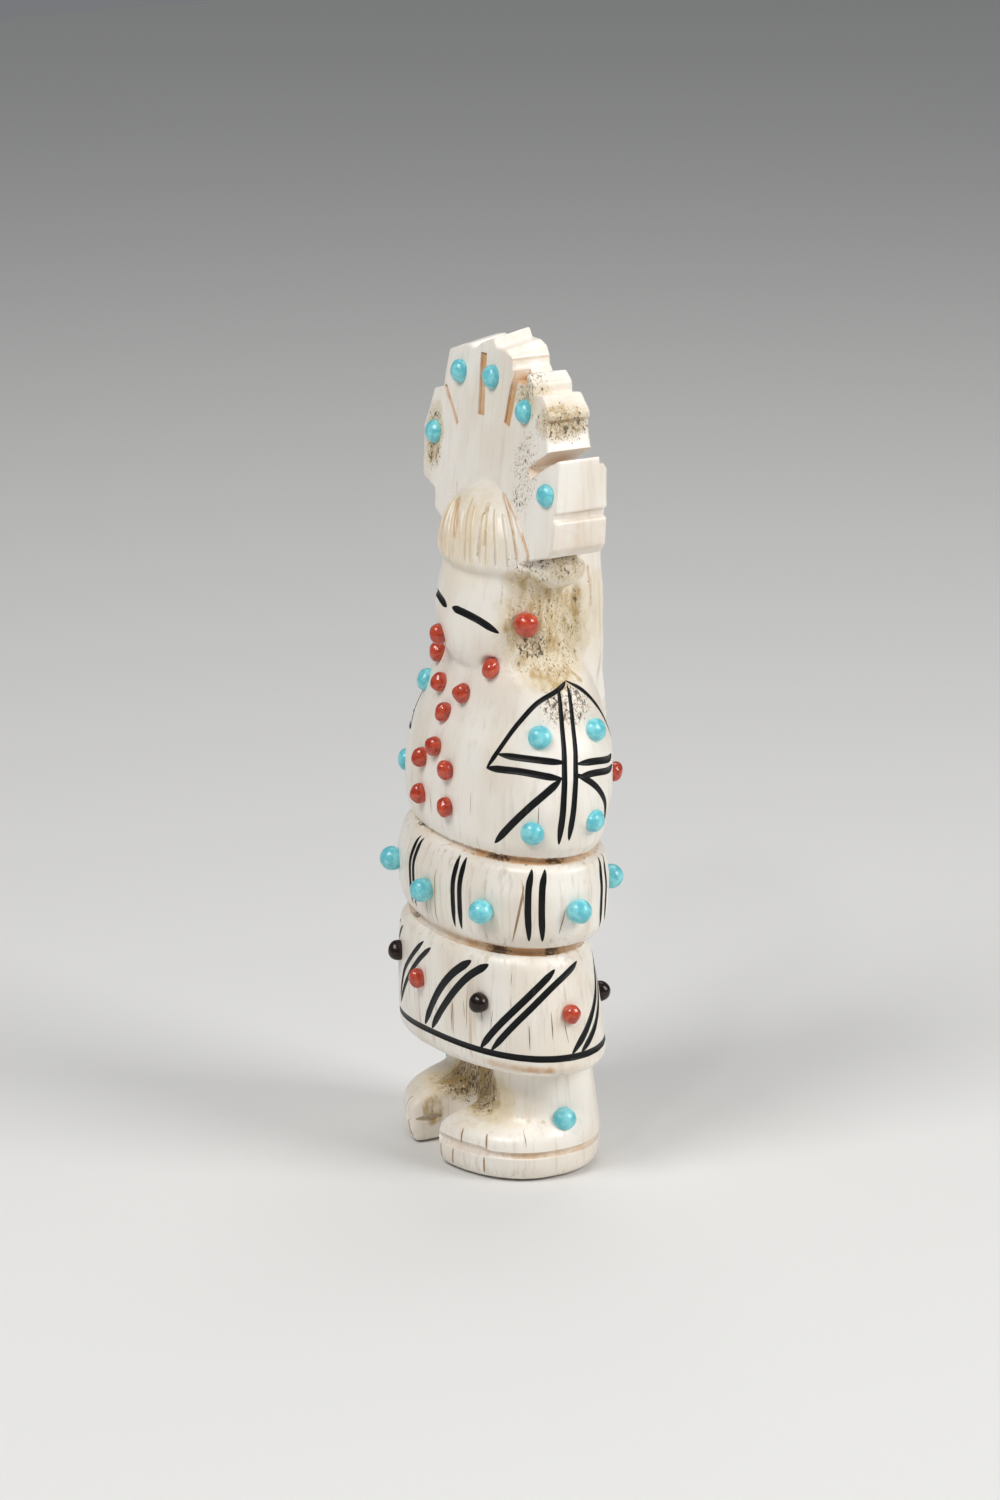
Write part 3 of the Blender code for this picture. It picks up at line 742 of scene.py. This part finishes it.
# strands of the fringe, which fan out from its top, and two longer ones on her left
fringeLines = []
for number in range(3, 21):
    turn = -88 + 7.5 * number + 1.5 * math.sin(number * 2.3)
    bend = float(np.interp(turn, [-90, -50, -20, 7, 25, 40, 65], [0, -8, -20, -28, -12, -3, -6]))
    guide = [(turn + bend, 82.2 - 0.6 * (number % 3)), (turn + bend * 0.6, 80.8), (turn + bend * 0.25, 79.2),
             (turn, 77.4), (turn, 75)]
    fringeLines.append((guide, 0.44 + 0.12 * ((number * 7) % 3), {"depth": 0.22 + 0.08 * (number % 2)}))
fringeLines += [
    ([(58, 83.1), (63.2, 82), (66.2, 80.4), (67.9, 78.8), (69, 77.1), (70.2, 75.2)], 0.42, {"depth": 0.22}),
    ([(61, 83.1), (67.6, 82), (71.2, 80.4), (72.9, 78.8), (74.2, 77.1), (75, 75.3)], 0.5, {"depth": 0.22}),
]
hairLines = []
for turn in range(134, 232, 12):
    sway = math.sin(turn), math.sin(turn * 3)
    hairLines.append(([(turn, 76.5), (turn + 2 * sway[0], 70), (turn + sway[1], 63), (turn, 57)], 0.4))
soleGroove = [
    ([(13, 3.5)] + [(turn, 3.5) for turn in range(30, 331, 15)], 0.9),
    ([(12, 3.6), (24, 3.6), (40, 3.6), (54, 3.6)], 1.4, {"depth": 0.56}),
    ([(-54, 3.4), (-42, 3.3), (-34, 3.2), (-27, 3.2)], 1.2, {"depth": 0.42}),
    ([(-54, 3.2), (-72, 3.2), (-92, 3.2), (-112, 3.2)], 1.1, {"depth": 0.75, "inside": (-1.5, -7.5)}),
]
toeGuides = [
    [(34.8, 5.6), (35.5, 4)], [(51.1, 5.7), (51.5, 4)], [(17.6, 3), (16, 0.8)],
    [(29.3, 3), (27.6, 0.8)], [(50.2, 3), (50.1, 0.8)],
]
toeLines = [(guide, 0.26) for guide in toeGuides]
# the slit next to the gap between the feet is left out on her right
toeLines += [line for line in mirrored(toeLines) if line[0][0][0] < -28]


hemPlan = {"halfWidth": 17.6, "height": 16.4, "sag": 0.00176, "tilt": 0.0396}


def hemLine(angle):
    # the hem hangs lower on her right
    x = hemPlan["halfWidth"] * math.sin(math.radians(angle))
    return hemPlan["height"] - hemPlan["sag"] * x * x + hemPlan["tilt"] * x


def drawStrokes(name, strokes, kind, taper=None, rings=()):
    # every stroke is planned on the uncut surface; cutting and inking come later
    depth, taper = strokePlan[kind + "Depth"], strokePlan[(taper or kind) + "Taper"]
    drawn = []
    for guide, width, *more in strokes:
        own = more[0] if more else {}
        line = strokeLine(figure, guide, own.get("inside"))
        drawn.append((name, line, (width, own.get("endWidth", width)), taper, False, own.get("depth", depth)))
    for heightAt, width in rings:
        drawn.append((name, closedRing(figure, heightAt), (width, width), taper, True, depth))
    return drawn


checkPlan = {"width": (0.11, 0.2), "stray": (0.15, 0.85), "bow": 0.6, "startTurn": 20,
             "feetBelow": 10, "gapFrom": 300}    # none by the gap between the feet


def grainChecks():
    # hairlines that run with the grain: a few set ones, then a number in each zone
    plan = checkPlan
    zones = [
        {"room": (30.8, 39.4), "count": 13, "length": (3, 6.5), "lean": 2.5},
        {"room": (17.4, 25.5), "count": 26, "length": (2.5, 6), "lean": 1.6},
        {"room": (43, 50), "count": 9, "length": (2.5, 5), "lean": 1},
        {"room": (4.2, 6.4), "count": 5, "length": (1.2, 2), "lean": 1},
        {"room": (0.8, 3), "count": 6, "length": (1.2, 1.9), "lean": 1},
    ]
    placed = [
        (0.22, (28, 21.4), (28.3, 17.8)), (0.18, (38, 22.4), (38.4, 20.0)), (0.2, (49, 23.0), (49.6, 20.2)),
        (0.18, (64, 27.0), (63.6, 25.3)), (0.22, (71, 20.8), (71.3, 17.6)), (0.18, (80, 22.4), (80.4, 18.8)),
        (0.3, (69.2, 38.2), (67.0, 34.8), (64.3, 30.8)), (0.26, (12.2, 37.4), (11.5, 34.0), (11.5, 30.3)),
    ]
    found = [(guide, width) for width, *guide in placed]
    for zone in zones:
        bottom, top = zone["room"]
        for k in range(zone["count"]):
            turn = 360 * (k + random.uniform(*plan["stray"])) / zone["count"] + plan["startTurn"]
            length = random.uniform(*zone["length"])
            low = random.uniform(bottom, max(bottom, top - length))
            lean, bow = random.uniform(-1, 1) * zone["lean"], random.uniform(-plan["bow"], plan["bow"])
            if bottom < plan["feetBelow"] and (turn - plan["startTurn"]) % 360 > plan["gapFrom"]:
                continue
            guide = [(turn, low), (turn + lean / 2 + bow, low + length / 2), (turn + lean, low + length)]
            found.append((guide, random.uniform(*plan["width"])))
    return found


random.seed(4)
inked = drawStrokes("inkCapeLeft", capePanel, "ink")
inked += drawStrokes("inkCapeRight", mirrored(capePanel), "ink")
inked += drawStrokes("inkBelt", beltStrokes, "ink")
inked += drawStrokes("inkSkirt", skirtStrokes, "ink", rings=[(hemLine, strokePlan["hemWidth"])])
inked += drawStrokes("inkEyes", eyeStrokes, "ink", "eye")
bare = drawStrokes("sole", soleGroove, "sole") + drawStrokes("fringe", fringeLines, "fringe")
bare += drawStrokes("hair", hairLines, "hair")
for ringHeight, ringWidth in (strokePlan["underCape"], strokePlan["underBelt"]):
    bare += drawStrokes("grooves", [], "ring", "ink", [(lambda turn, level=ringHeight: level, ringWidth)])
checks = drawStrokes("grainChecks", grainChecks(), "check") + drawStrokes("grainChecks", toeLines, "toe")

# the surface before it is cut, for finding the hollows later
hollowBefore = hollowness(figure, carvingPlan["creaseRounds"])
tree = treeOf([vertex.co for vertex in figure.data.vertices])


def nearer(lineA, lineB, limit):
    a = np.array([tuple(p) for p in lineA[0]])
    b = np.array([tuple(p) for p in lineB[0]])
    return np.linalg.norm(a[:, None] - b[None], axis=2).min() < limit


def cutGrooves(body, cuts):
    # grooves that stay clear of each other are cut in one go
    batches = []
    for stroke in cuts:
        for batch in batches:
            if not any(nearer(stroke[1], other[1], strokePlan["apart"] * mm) for other in batch):
                batch.append(stroke)
                break
        else:
            batches.append([stroke])
    for batch in batches:
        cutters = [spindle("cutter", line, width, taper, closed, grooveProfile(depth))
                   for _, line, width, taper, closed, depth in batch]
        combine(body, joined(cutters, "cutters"), "DIFFERENCE")
    print("cut", len(cuts), "grooves in", len(batches), "goes:", len(body.data.polygons))


cutGrooves(figure, inked + checks)
surfaceThen = bvhtree.BVHTree.FromObject(figure, bpy.context.evaluated_depsgraph_get())
cutGrooves(figure, bare)
for boxes in rayCuts:
    cutters = [boxAt(*box[:3]) for box in boxes]
    for cutter in cutters:
        editAll(cutter)
        bpy.ops.mesh.subdivide(number_cuts=headdressPlan["boxCuts"])
        leaveEdit()
    combine(figure, joined(cutters, "rayCutters"), "DIFFERENCE")

# thin the mesh, which takes most from the flat places
triangles = sum(len(face.vertices) - 2 for face in figure.data.polygons)
kept = min(1, carvingPlan["triangles"] / triangles)
addModifier(figure, "DECIMATE", ratio=kept, use_collapse_triangulate=True)
print("thinned from", triangles, "triangles to", len(figure.data.polygons))

inkPieces = {}
for name, line, width, taper, closed, depth in inked + checks:
    lining = spindle(name, line, width, taper, closed, inkProfile(depth))
    inkPieces.setdefault(name, []).append(lining)
inkSpots, inkHalves = [], []
for name, line, width, *rest in inked:
    inkSpots += line[0]
    inkHalves += list(np.linspace(*width, len(line[0])) / 2)
inkTree = treeOf(inkSpots)
for name, linings in inkPieces.items():
    piece = joined(linings, name)
    bpy.ops.object.shade_smooth()
    if name == "grainChecks":
        # a hairline passes under the ink it meets
        for vertex in piece.data.vertices:
            index, distance = inkTree.find(vertex.co)[1:]
            if distance < (inkHalves[index] + strokePlan["inkMargin"]) * mm:
                inward = Vector((-vertex.co.x, -vertex.co.y, 0)).normalized()
                vertex.co += inward * strokePlan["passUnder"] * mm
        finishPiece(piece, "antler", checkBrown)
    else:
        finishPiece(piece, "ink", ink)
print("ink laid")


# where the antler is porous or stained: the middle and half sizes of each zone (mm) and its strength

porousZones = [
    ((9.8, 0.2, 68), (6.4, 9.2, 10.2), 0.84),
    ((9.5, -2, 73.5), (4.4, 5.4, 2.4), 0.85),
    ((11.5, -0.2, 62.4), (3.8, 4.8, 3.4), 0.86),
    ((11, 1.5, 75), (5, 5, 2.4), 0.8),
    ((12.5, 0.5, 93.2), (3.2, 5.5, 3.2), 0.84),
    ((7.6, -0.6, 94.5), (3.6, 4, 4), 0.78),
    ((-13.5, -1.5, 86.5), (3.2, 4, 6), 0.8),
    ((-4.6, -4.6, 8.4), (5.6, 5, 4.8), 0.9),
    ((0.4, -3.6, 9), (3.4, 3, 5), 1),
    ((6.5, -5.6, 8.6), (7, 3, 4.2), 0.74),
]
speckZones = [
    ((9.6, 0.2, 67), (5.6, 8, 9.6), 0.82),
    ((13, 1, 58.8), (3.5, 4.6, 4), 1.1),
    ((9.6, -1.5, 65.6), (3, 3.4, 2.2), 1.1),
    ((10.2, 0.5, 75.4), (6, 7, 2.8), 0.92),
    ((8.6, -1.5, 86), (4.6, 3.4, 8), 0.9),
    ((12, 1, 92.6), (4, 5, 3.6), 1),
    ((7, -0.6, 95.4), (3.6, 4, 4.4), 0.95),
    ((-13.5, -1.5, 86), (3, 4, 6.4), 0.95),
    ((-3.5, -4, 8.6), (6, 5, 5), 1.1),
]
ochreZones = [
    ((-4.2, -7.6, 4.2), (1.7, 2.4, 3.4), 0.9),
    ((0.4, -3.6, 9), (3, 2.8, 4.6), 0.98),
    ((-3.4, -4.6, 7.6), (4.4, 2.6, 3.2), 0.95),
    ((2.6, -5.2, 6.8), (3.6, 1.6, 1.4), 0.9),
    ((8, -4.2, 68), (1.4, 1.7, 1.8), 0.95),
    ((10.9, -1, 62.6), (2.4, 3, 2), 0.88),
    ((8.9, 4.7, 70.2), (1.4, 1.3, 3.6), 0.92),
    ((9.2, 1.6, 70.4), (2.2, 4.2, 2.4), 0.72),
    ((8.6, -2.4, 65.6), (2, 2, 1.6), 0.74),
    ((8.7, -1.5, 73), (2.4, 5, 1.3), 0.86),
    ((11.6, 1, 93.6), (2.6, 5, 1.6), 0.82),
    ((8.4, -1.8, 93.5), (2, 1.6, 2.6), 0.76),
    ((-13.6, -2.2, 88), (1.6, 1.8, 2.2), 0.8),
    ((-13.6, -2.2, 83.4), (1.6, 1.8, 1.6), 0.8),
]
honeyZones = [
    ((0, -6.5, 78.4), (11, 7, 7), 1),
    ((7, 7.5, 69), (4, 3.4, 8), 0.8),
    ((9.6, 0.6, 67.5), (5, 6.5, 9), 0.6),
    ((7.5, -4.5, 8), (6, 4, 4.6), 0.75),
    ((-6, -6, 7), (6, 5, 4.5), 0.6),
]
# stains that follow a short line: its (angle, height) guide, reach (mm) and strength
ochreMarks = [
    ([(127.5, 74), (128.2, 71.8), (127.8, 69.3)], 0.5, 0.85),
    ([(131, 67.4), (132, 65.5), (131.5, 63.6)], 0.55, 0.7),
    ([(58.5, 72.6), (58, 70.6)], 0.6, 0.8),
    ([(69, 72.3), (69, 70.9)], 0.5, 0.8),
    ([(96, 70.6), (96.5, 68.4)], 0.8, 0.8),
    ([(95.5, 65.6), (101, 63.4), (106, 61.4)], 1.2, 0.86),
    ([(42, 6.9), (60, 7.4), (74, 7.2), (82, 7)], 1, 0.74),
    ([(66, 10.8), (67, 8.8)], 0.6, 0.74),
    ([(88, 6.2), (91, 5.6)], 0.6, 0.72),
    ([(37, 79.4), (37.8, 76.3)], 0.5, 0.86),
    ([(39.5, 82), (41, 80.8), (43.3, 79), (43.5, 77.6)], 0.6, 0.9),
    ([(14, 80.6), (17, 78)], 0.5, 0.7),
    ([(25, 80.6), (27, 76.6)], 0.45, 0.72),
    ([(54, 80.6), (57, 77)], 0.5, 0.72),
]
tanMarks = [
    ([(58, 83), (66.2, 80.4), (69, 77.1), (70, 76)], 0.34, 0.72),
    ([(61, 83), (71.2, 80.4), (74.2, 77.1), (74.8, 76.2)], 0.42, 0.72),
    ([(-20, 81.4), (-8.5, 80.6), (2.3, 79.5), (6.6, 77.8)], 0.8, 0.8),
    ([(-38, 80.2), (-25, 78.7), (-20, 77)], 1.5, 0.5),
    ([(40, 15.6), (52, 15.4)], 0.8, 0.42),
    ([(53, 15.3), (64, 15.2)], 0.8, 0.66),
    ([(65, 15.2), (79, 15.1)], 0.75, 0.9),
    ([(80, 15.2), (90, 15.3)], 0.7, 0.4),
    ([(127.5, 74), (128.2, 71.8), (127.8, 69.3)], 0.3, 0.8),
    ([(93.8, 81.4), (94, 79)], 0.7, 0.5),
]
sootMarks = [
    ([(117.6, 71.6), (118, 69.8)], 0.6, 0.95),
    ([(127.6, 72.4), (127.6, 72.1)], 0.3, 1),
    ([(127.8, 69.9), (127.8, 69.4)], 0.3, 0.9),
    ([(59.5, 68), (60.5, 67.5)], 0.6, 0.7),
    ([(-40, 8.5), (-10, 7.6), (20, 7.2)], 1.3, 0.8),
]


stainPlan = {
    "zoneFade": (0.45, 1.15), "markFade": (0.1, 1.3), "markRoom": 1.2, "markSpacing": 0.25,
    "oneSided": {"within": 3, "above": 80},    # other zones are mirrored
    "hollow": (0.03, 0.24), "cut": (0.01, 0.14),    # depths (mm), from clean to stained
    "hollowAt": ((0, 8, 13, 27, 28, 42, 43, 59, 61, 76, 78, 101),
                 (0.4, 0.3, 0.6, 0.5, 1, 1, 0.4, 0.3, 0.35, 0.5, 0.5, 0.6)),
    "checksAt": ((0, 8, 15, 27, 29, 41, 43, 55, 60, 76, 84, 101),
                 (0.8, 0.5, 0.9, 0.55, 1, 1, 0.5, 0.25, 0.2, 0.15, 0.2, 0.25)),
    "headdress": {"above": 84.6, "outside": 9.2, "sidesAbove": 77},
    "rayCutRoom": 1.02, "lowRay": {"outside": 14.9, "low": 76.5, "high": 83, "stain": 0.36},
    "beadRing": (1.15, 1.75), "beadReach": 1.5, "beadStain": 0.5,
    "head": {"above": 53, "share": 0.26}, "feet": {"below": 8.5, "least": 0.3, "more": 0.4},
    "rings": ((40.6, 0.8), (29.1, 1)), "ringLeast": 0.35, "ringMore": 0.75, "sootFrom": (0.1, 0.5),
    "hair": {"above": 73.6, "inFront": 0.2},
}
# patches round the body: middle and reach (degrees) and strength
footPatches = [(85, 40, 1)]
ringPatches = [(66, 38, 1), (160, 35, 0.8), (-100, 40, 0.8)]
sootPatches = [(57, 14, 0.96), (84, 9, 0.96), (-38, 14, 0.9), (150, 16, 0.9), (208, 12, 0.9), (-95, 16, 0.9)]

points = readPoints(figure)
side, height = points[:, 0] / mm, points[:, 2] / mm
turn = np.degrees(np.arctan2(points[:, 0], -points[:, 1]))


def fieldValue(zones):
    value, oneSided = np.zeros(len(points)), stainPlan["oneSided"]
    for (x, y, z), size, strength in zones:
        single = abs(x) < oneSided["within"] or z > oneSided["above"]
        for middle in ((x, y, z),) if single else ((x, y, z), (-x, y, z)):
            away = np.linalg.norm((points / mm - middle) / size, axis=1)
            value = np.maximum(value, strength * (1 - smoothStep(*stainPlan["zoneFade"], away)))
    return value


def markValue(marks):
    value = np.zeros(len(points))
    for guide, reach, strength in marks:
        line = strokeLine(figure, guide, spacing=stainPlan["markSpacing"])[0]
        line = np.array([tuple(p) for p in line]) / mm
        middle = (line.min(0) + line.max(0)) / 2
        room = (line.max(0) - line.min(0)) / 2 + reach * stainPlan["markRoom"]
        near = np.flatnonzero((np.abs(points / mm - middle) < room).all(1))
        away = np.linalg.norm(points[near, None] / mm - line[None], axis=2).min(1) / reach
        value[near] = np.maximum(value[near], strength * (1 - smoothStep(*stainPlan["markFade"], away)))
    return value


def patches(spots):
    share = np.zeros(len(points))
    for middle, reach, strength in spots:
        share = np.maximum(share, strength * np.exp(-((turn - middle) / reach) ** 2))
    return share


# hollows and cuts hold stain, but not on the headdress, where only the kerfs do
plan = stainPlan
crease = np.array([hollowBefore[tree.find(p)[1]] for p in points])
crease = smoothStep(*plan["hollow"], crease) * np.interp(height, *plan["hollowAt"])
cutDepth = np.array([surfaceThen.find_nearest(p)[3] for p in points]) / mm
above, outside, sidesAbove = plan["headdress"].values()
onHeaddress = (height > above) | ((np.abs(side) > outside) & (height > sidesAbove))
crease[onHeaddress] = 0
crease = np.maximum(crease, smoothStep(*plan["cut"], cutDepth))
for boxes in rayCuts:
    for middle, size, angles, tintShare in boxes:
        local = (points / mm - middle) @ np.array(turned(angles).to_matrix())
        inBox = (np.abs(local) / (np.array(size) / 2) < plan["rayCutRoom"]).all(1)
        crease[inBox] = np.maximum(crease[inBox], tintShare)
# a darker orange-brown ring round each bead's base, mixed into the crease layer
for point, outward in beadPlaces.values():
    away = points - np.array(point)
    along = away @ np.array(outward)
    ring = np.sqrt(np.maximum((away ** 2).sum(1) - along ** 2, 0)) / mm
    tintShare = plan["beadStain"] * (1 - smoothStep(*plan["beadRing"], ring))
    crease = np.maximum(crease, tintShare * (np.abs(along) < plan["beadReach"] * mm))

# the head and the feet are cleaner, and the rings under the cape and the belt hold stain and soot in patches
crease[(height > plan["head"]["above"]) & (height < above) & ~onHeaddress] *= plan["head"]["share"]
onFeet = height < plan["feet"]["below"]
crease[onFeet] *= plan["feet"]["least"] + plan["feet"]["more"] * patches(footPatches)[onFeet]
ringHere = np.any([np.abs(height - level) < reach for level, reach in plan["rings"]], axis=0)
soot = patches(sootPatches) * smoothStep(*plan["sootFrom"], crease) * ringHere
crease[ringHere] *= plan["ringLeast"] + plan["ringMore"] * patches(ringPatches)[ringHere]
outside, low, high, tintShare = plan["lowRay"].values()
lowRay = (side > outside) & (height > low) & (height < high)
crease[lowRay] = np.maximum(crease[lowRay], tintShare)
crease = np.maximum(crease, markValue(tanMarks))

honey = fieldValue(honeyZones)
frontAt = np.array([frontFace(z) for z in height]) - plan["hair"]["inFront"]
honey[(height > plan["hair"]["above"]) & (points[:, 1] / mm > frontAt)] = 0
for name, values in (
    ("ochre", np.maximum(markValue(ochreMarks), fieldValue(ochreZones))),
    ("honey", honey), ("soot", np.maximum(soot, markValue(sootMarks))),
    ("porous", fieldValue(porousZones)), ("specks", fieldValue(speckZones)),
    ("crease", crease), ("checkZone", np.interp(height, *plan["checksAt"])),
):
    layer = figure.data.attributes.new(name, "FLOAT", "POINT")
    layer.data.foreach_set("value", np.asarray(values, np.float32))
makeActive(figure)
bpy.ops.object.shade_smooth_by_angle(angle=math.radians(carvingPlan["creaseAngle"]))
finishPiece(figure, "antler", antler, "carving")
print("carving finished")


# beads: a coarse ball, knocked a little out of round, then smoothed

beadPlan = {
    "turquoiseBall": {"radius": 1.6, "high": 0.78, "flat": 1, "tall": 1, "uneven": 0.035, "peak": 0},
    "turquoiseCab": {"radius": 1.55, "high": 0.16, "flat": 0.76, "tall": 0.98, "uneven": 0.04, "peak": 0},
    "headdressCab": {"radius": 1.5, "high": 0.16, "flat": 0.8, "tall": 1.03, "uneven": 0.04, "peak": 0},
    "coral": {"radius": 1.13, "high": 0.36, "flat": 1, "tall": 1.2, "uneven": 0.08, "peak": 0.22},
    "coralLarge": {"radius": 1.62, "high": 0.3, "flat": 0.87, "tall": 1.03, "uneven": 0.07, "peak": 0.12},
    "jet": {"radius": 1.34, "high": 0.36, "flat": 0.92, "tall": 1.02, "uneven": 0.05, "peak": 0.1},
}
peakPlan = {"lean": (0.55, 0, 0.83), "turnEach": 2.4, "sharpness": 6}


def makeBead(name, kind, point, outward, seed):
    plan = beadPlan[kind]
    bead = added(bpy.ops.mesh.primitive_ico_sphere_add, subdivisions=2, radius=plan["radius"] * mm)
    bead.name = name
    editAll(bead)
    knock = plan["uneven"] * plan["radius"] * mm
    bpy.ops.transform.vertex_random(offset=knock, uniform=1.0, normal=0.0, seed=seed)
    bpy.ops.transform.resize(value=(1, plan["tall"], plan["flat"]))
    leaveEdit()
    lean = Vector(peakPlan["lean"]).normalized()
    lean.rotate(Matrix.Rotation(seed * peakPlan["turnEach"], 3, "Z"))
    for vertex in bead.data.vertices:
        facing = max(0, vertex.co.normalized().dot(lean))
        vertex.co += lean * plan["peak"] * plan["radius"] * mm * facing ** peakPlan["sharpness"]
    addModifier(bead, "SUBSURF", levels=2, render_levels=2)
    turn = outward.to_track_quat("Z", "Y").to_matrix().to_4x4()
    bead.data.transform(Matrix.Translation(point + outward * plan["high"] * mm) @ turn)
    bpy.ops.object.shade_smooth()
    return bead


beadKinds = {
    "belt": ("turquoise", "turquoiseBall"), "headdress": ("turquoise", "headdressCab"),
    "cape": ("turquoise", "turquoiseCab"), "ankle": ("turquoise", "turquoiseCab"),
    "ear": ("coral", "coralLarge"),
}
for number, node in enumerate(beadNodes):
    words = node.split("_")
    stone, kind = beadKinds.get(words[0], ("coral", "coral"))
    if words[0] == "skirt" and int(words[-1]) % 2 == 0:
        stone, kind = "jet", "jet"
    point, outward = beadPlaces[node]
    bead = makeBead(stone + "".join(word.title() for word in words), kind, point, outward, number + 1)
    finishPiece(bead, stone, stones[stone], node)
print("beads set")


# floor, light and camera

stagePlan = {"floor": 1.6, "floorDrop": 0.00005, "floorColour": (0.74, 0.73, 0.71),
             "sky": (0.62, 0.64, 0.67), "skyStrength": 0.3}
cameraPlan = {"azimuth": 61, "elevation": 16.5, "distance": 0.7, "aim": (0, 0, 0.052), "right": -0.0006,
              "up": -0.0018, "sensor": 36, "lens": 139.9, "clip": 0.01}
floor = added(bpy.ops.mesh.primitive_plane_add, size=stagePlan["floor"],
              location=(0, 0, -stagePlan["floorDrop"]))
floor.name = "floor"
floorMaterial = newMaterial("paleFloor", Roughness=0.8, Base_Color=(*stagePlan["floorColour"], 1))[0]
floor.data.materials.append(floorMaterial)

world = bpy.data.worlds.new("softRoom")
bpy.context.scene.world = world
world.use_nodes = True
setSockets(world.node_tree.nodes["Background"], Color=(*stagePlan["sky"], 1),
           Strength=stagePlan["skyStrength"])

# back points from the piece to the camera
azimuth, elevation = math.radians(cameraPlan["azimuth"]), math.radians(cameraPlan["elevation"])
level = math.cos(elevation)
back = Vector((math.sin(azimuth) * level, -math.cos(azimuth) * level, math.sin(elevation)))
right = Vector((math.cos(azimuth), math.sin(azimuth), 0))
up = back.cross(right)

# each lamp's place (right, up and towards the camera), size and watts
lampAim = Vector((0, 0, 0.05))
lampPlan = {
    "keySoftbox": ((-0.26, 0.34, 0.34), 0.22, 1.5),
    "sideSoftbox": ((0.4, 0.22, 0.26), 0.24, 1.6),
    "topSoftbox": ((0.05, 0.5, -0.1), 0.3, 0.6),
    "sparkleLamp": ((-0.12, 0.26, 0.44), 0.04, 0.22),
}
for name, ((x, y, z), size, watts) in lampPlan.items():
    place = lampAim + right * x + up * y + back * z
    lamp = added(bpy.ops.object.light_add, type="AREA", location=place,
                 rotation=(place - lampAim).to_track_quat("Z", "Y").to_euler())
    lamp.name = name
    lamp.data.size = size
    lamp.data.energy = watts

bpy.context.scene.view_settings.view_transform = "Standard"
aim = Vector(cameraPlan["aim"]) + right * cameraPlan["right"] + up * cameraPlan["up"]
camera = added(bpy.ops.object.camera_add, location=aim + back * cameraPlan["distance"],
               rotation=back.to_track_quat("Z", "Y").to_euler())
camera.data.sensor_width = cameraPlan["sensor"]
camera.data.lens = cameraPlan["lens"]
camera.data.sensor_fit = "AUTO"
camera.data.clip_start = cameraPlan["clip"]
bpy.context.scene.camera = camera
print("stage set")

deselectAll()
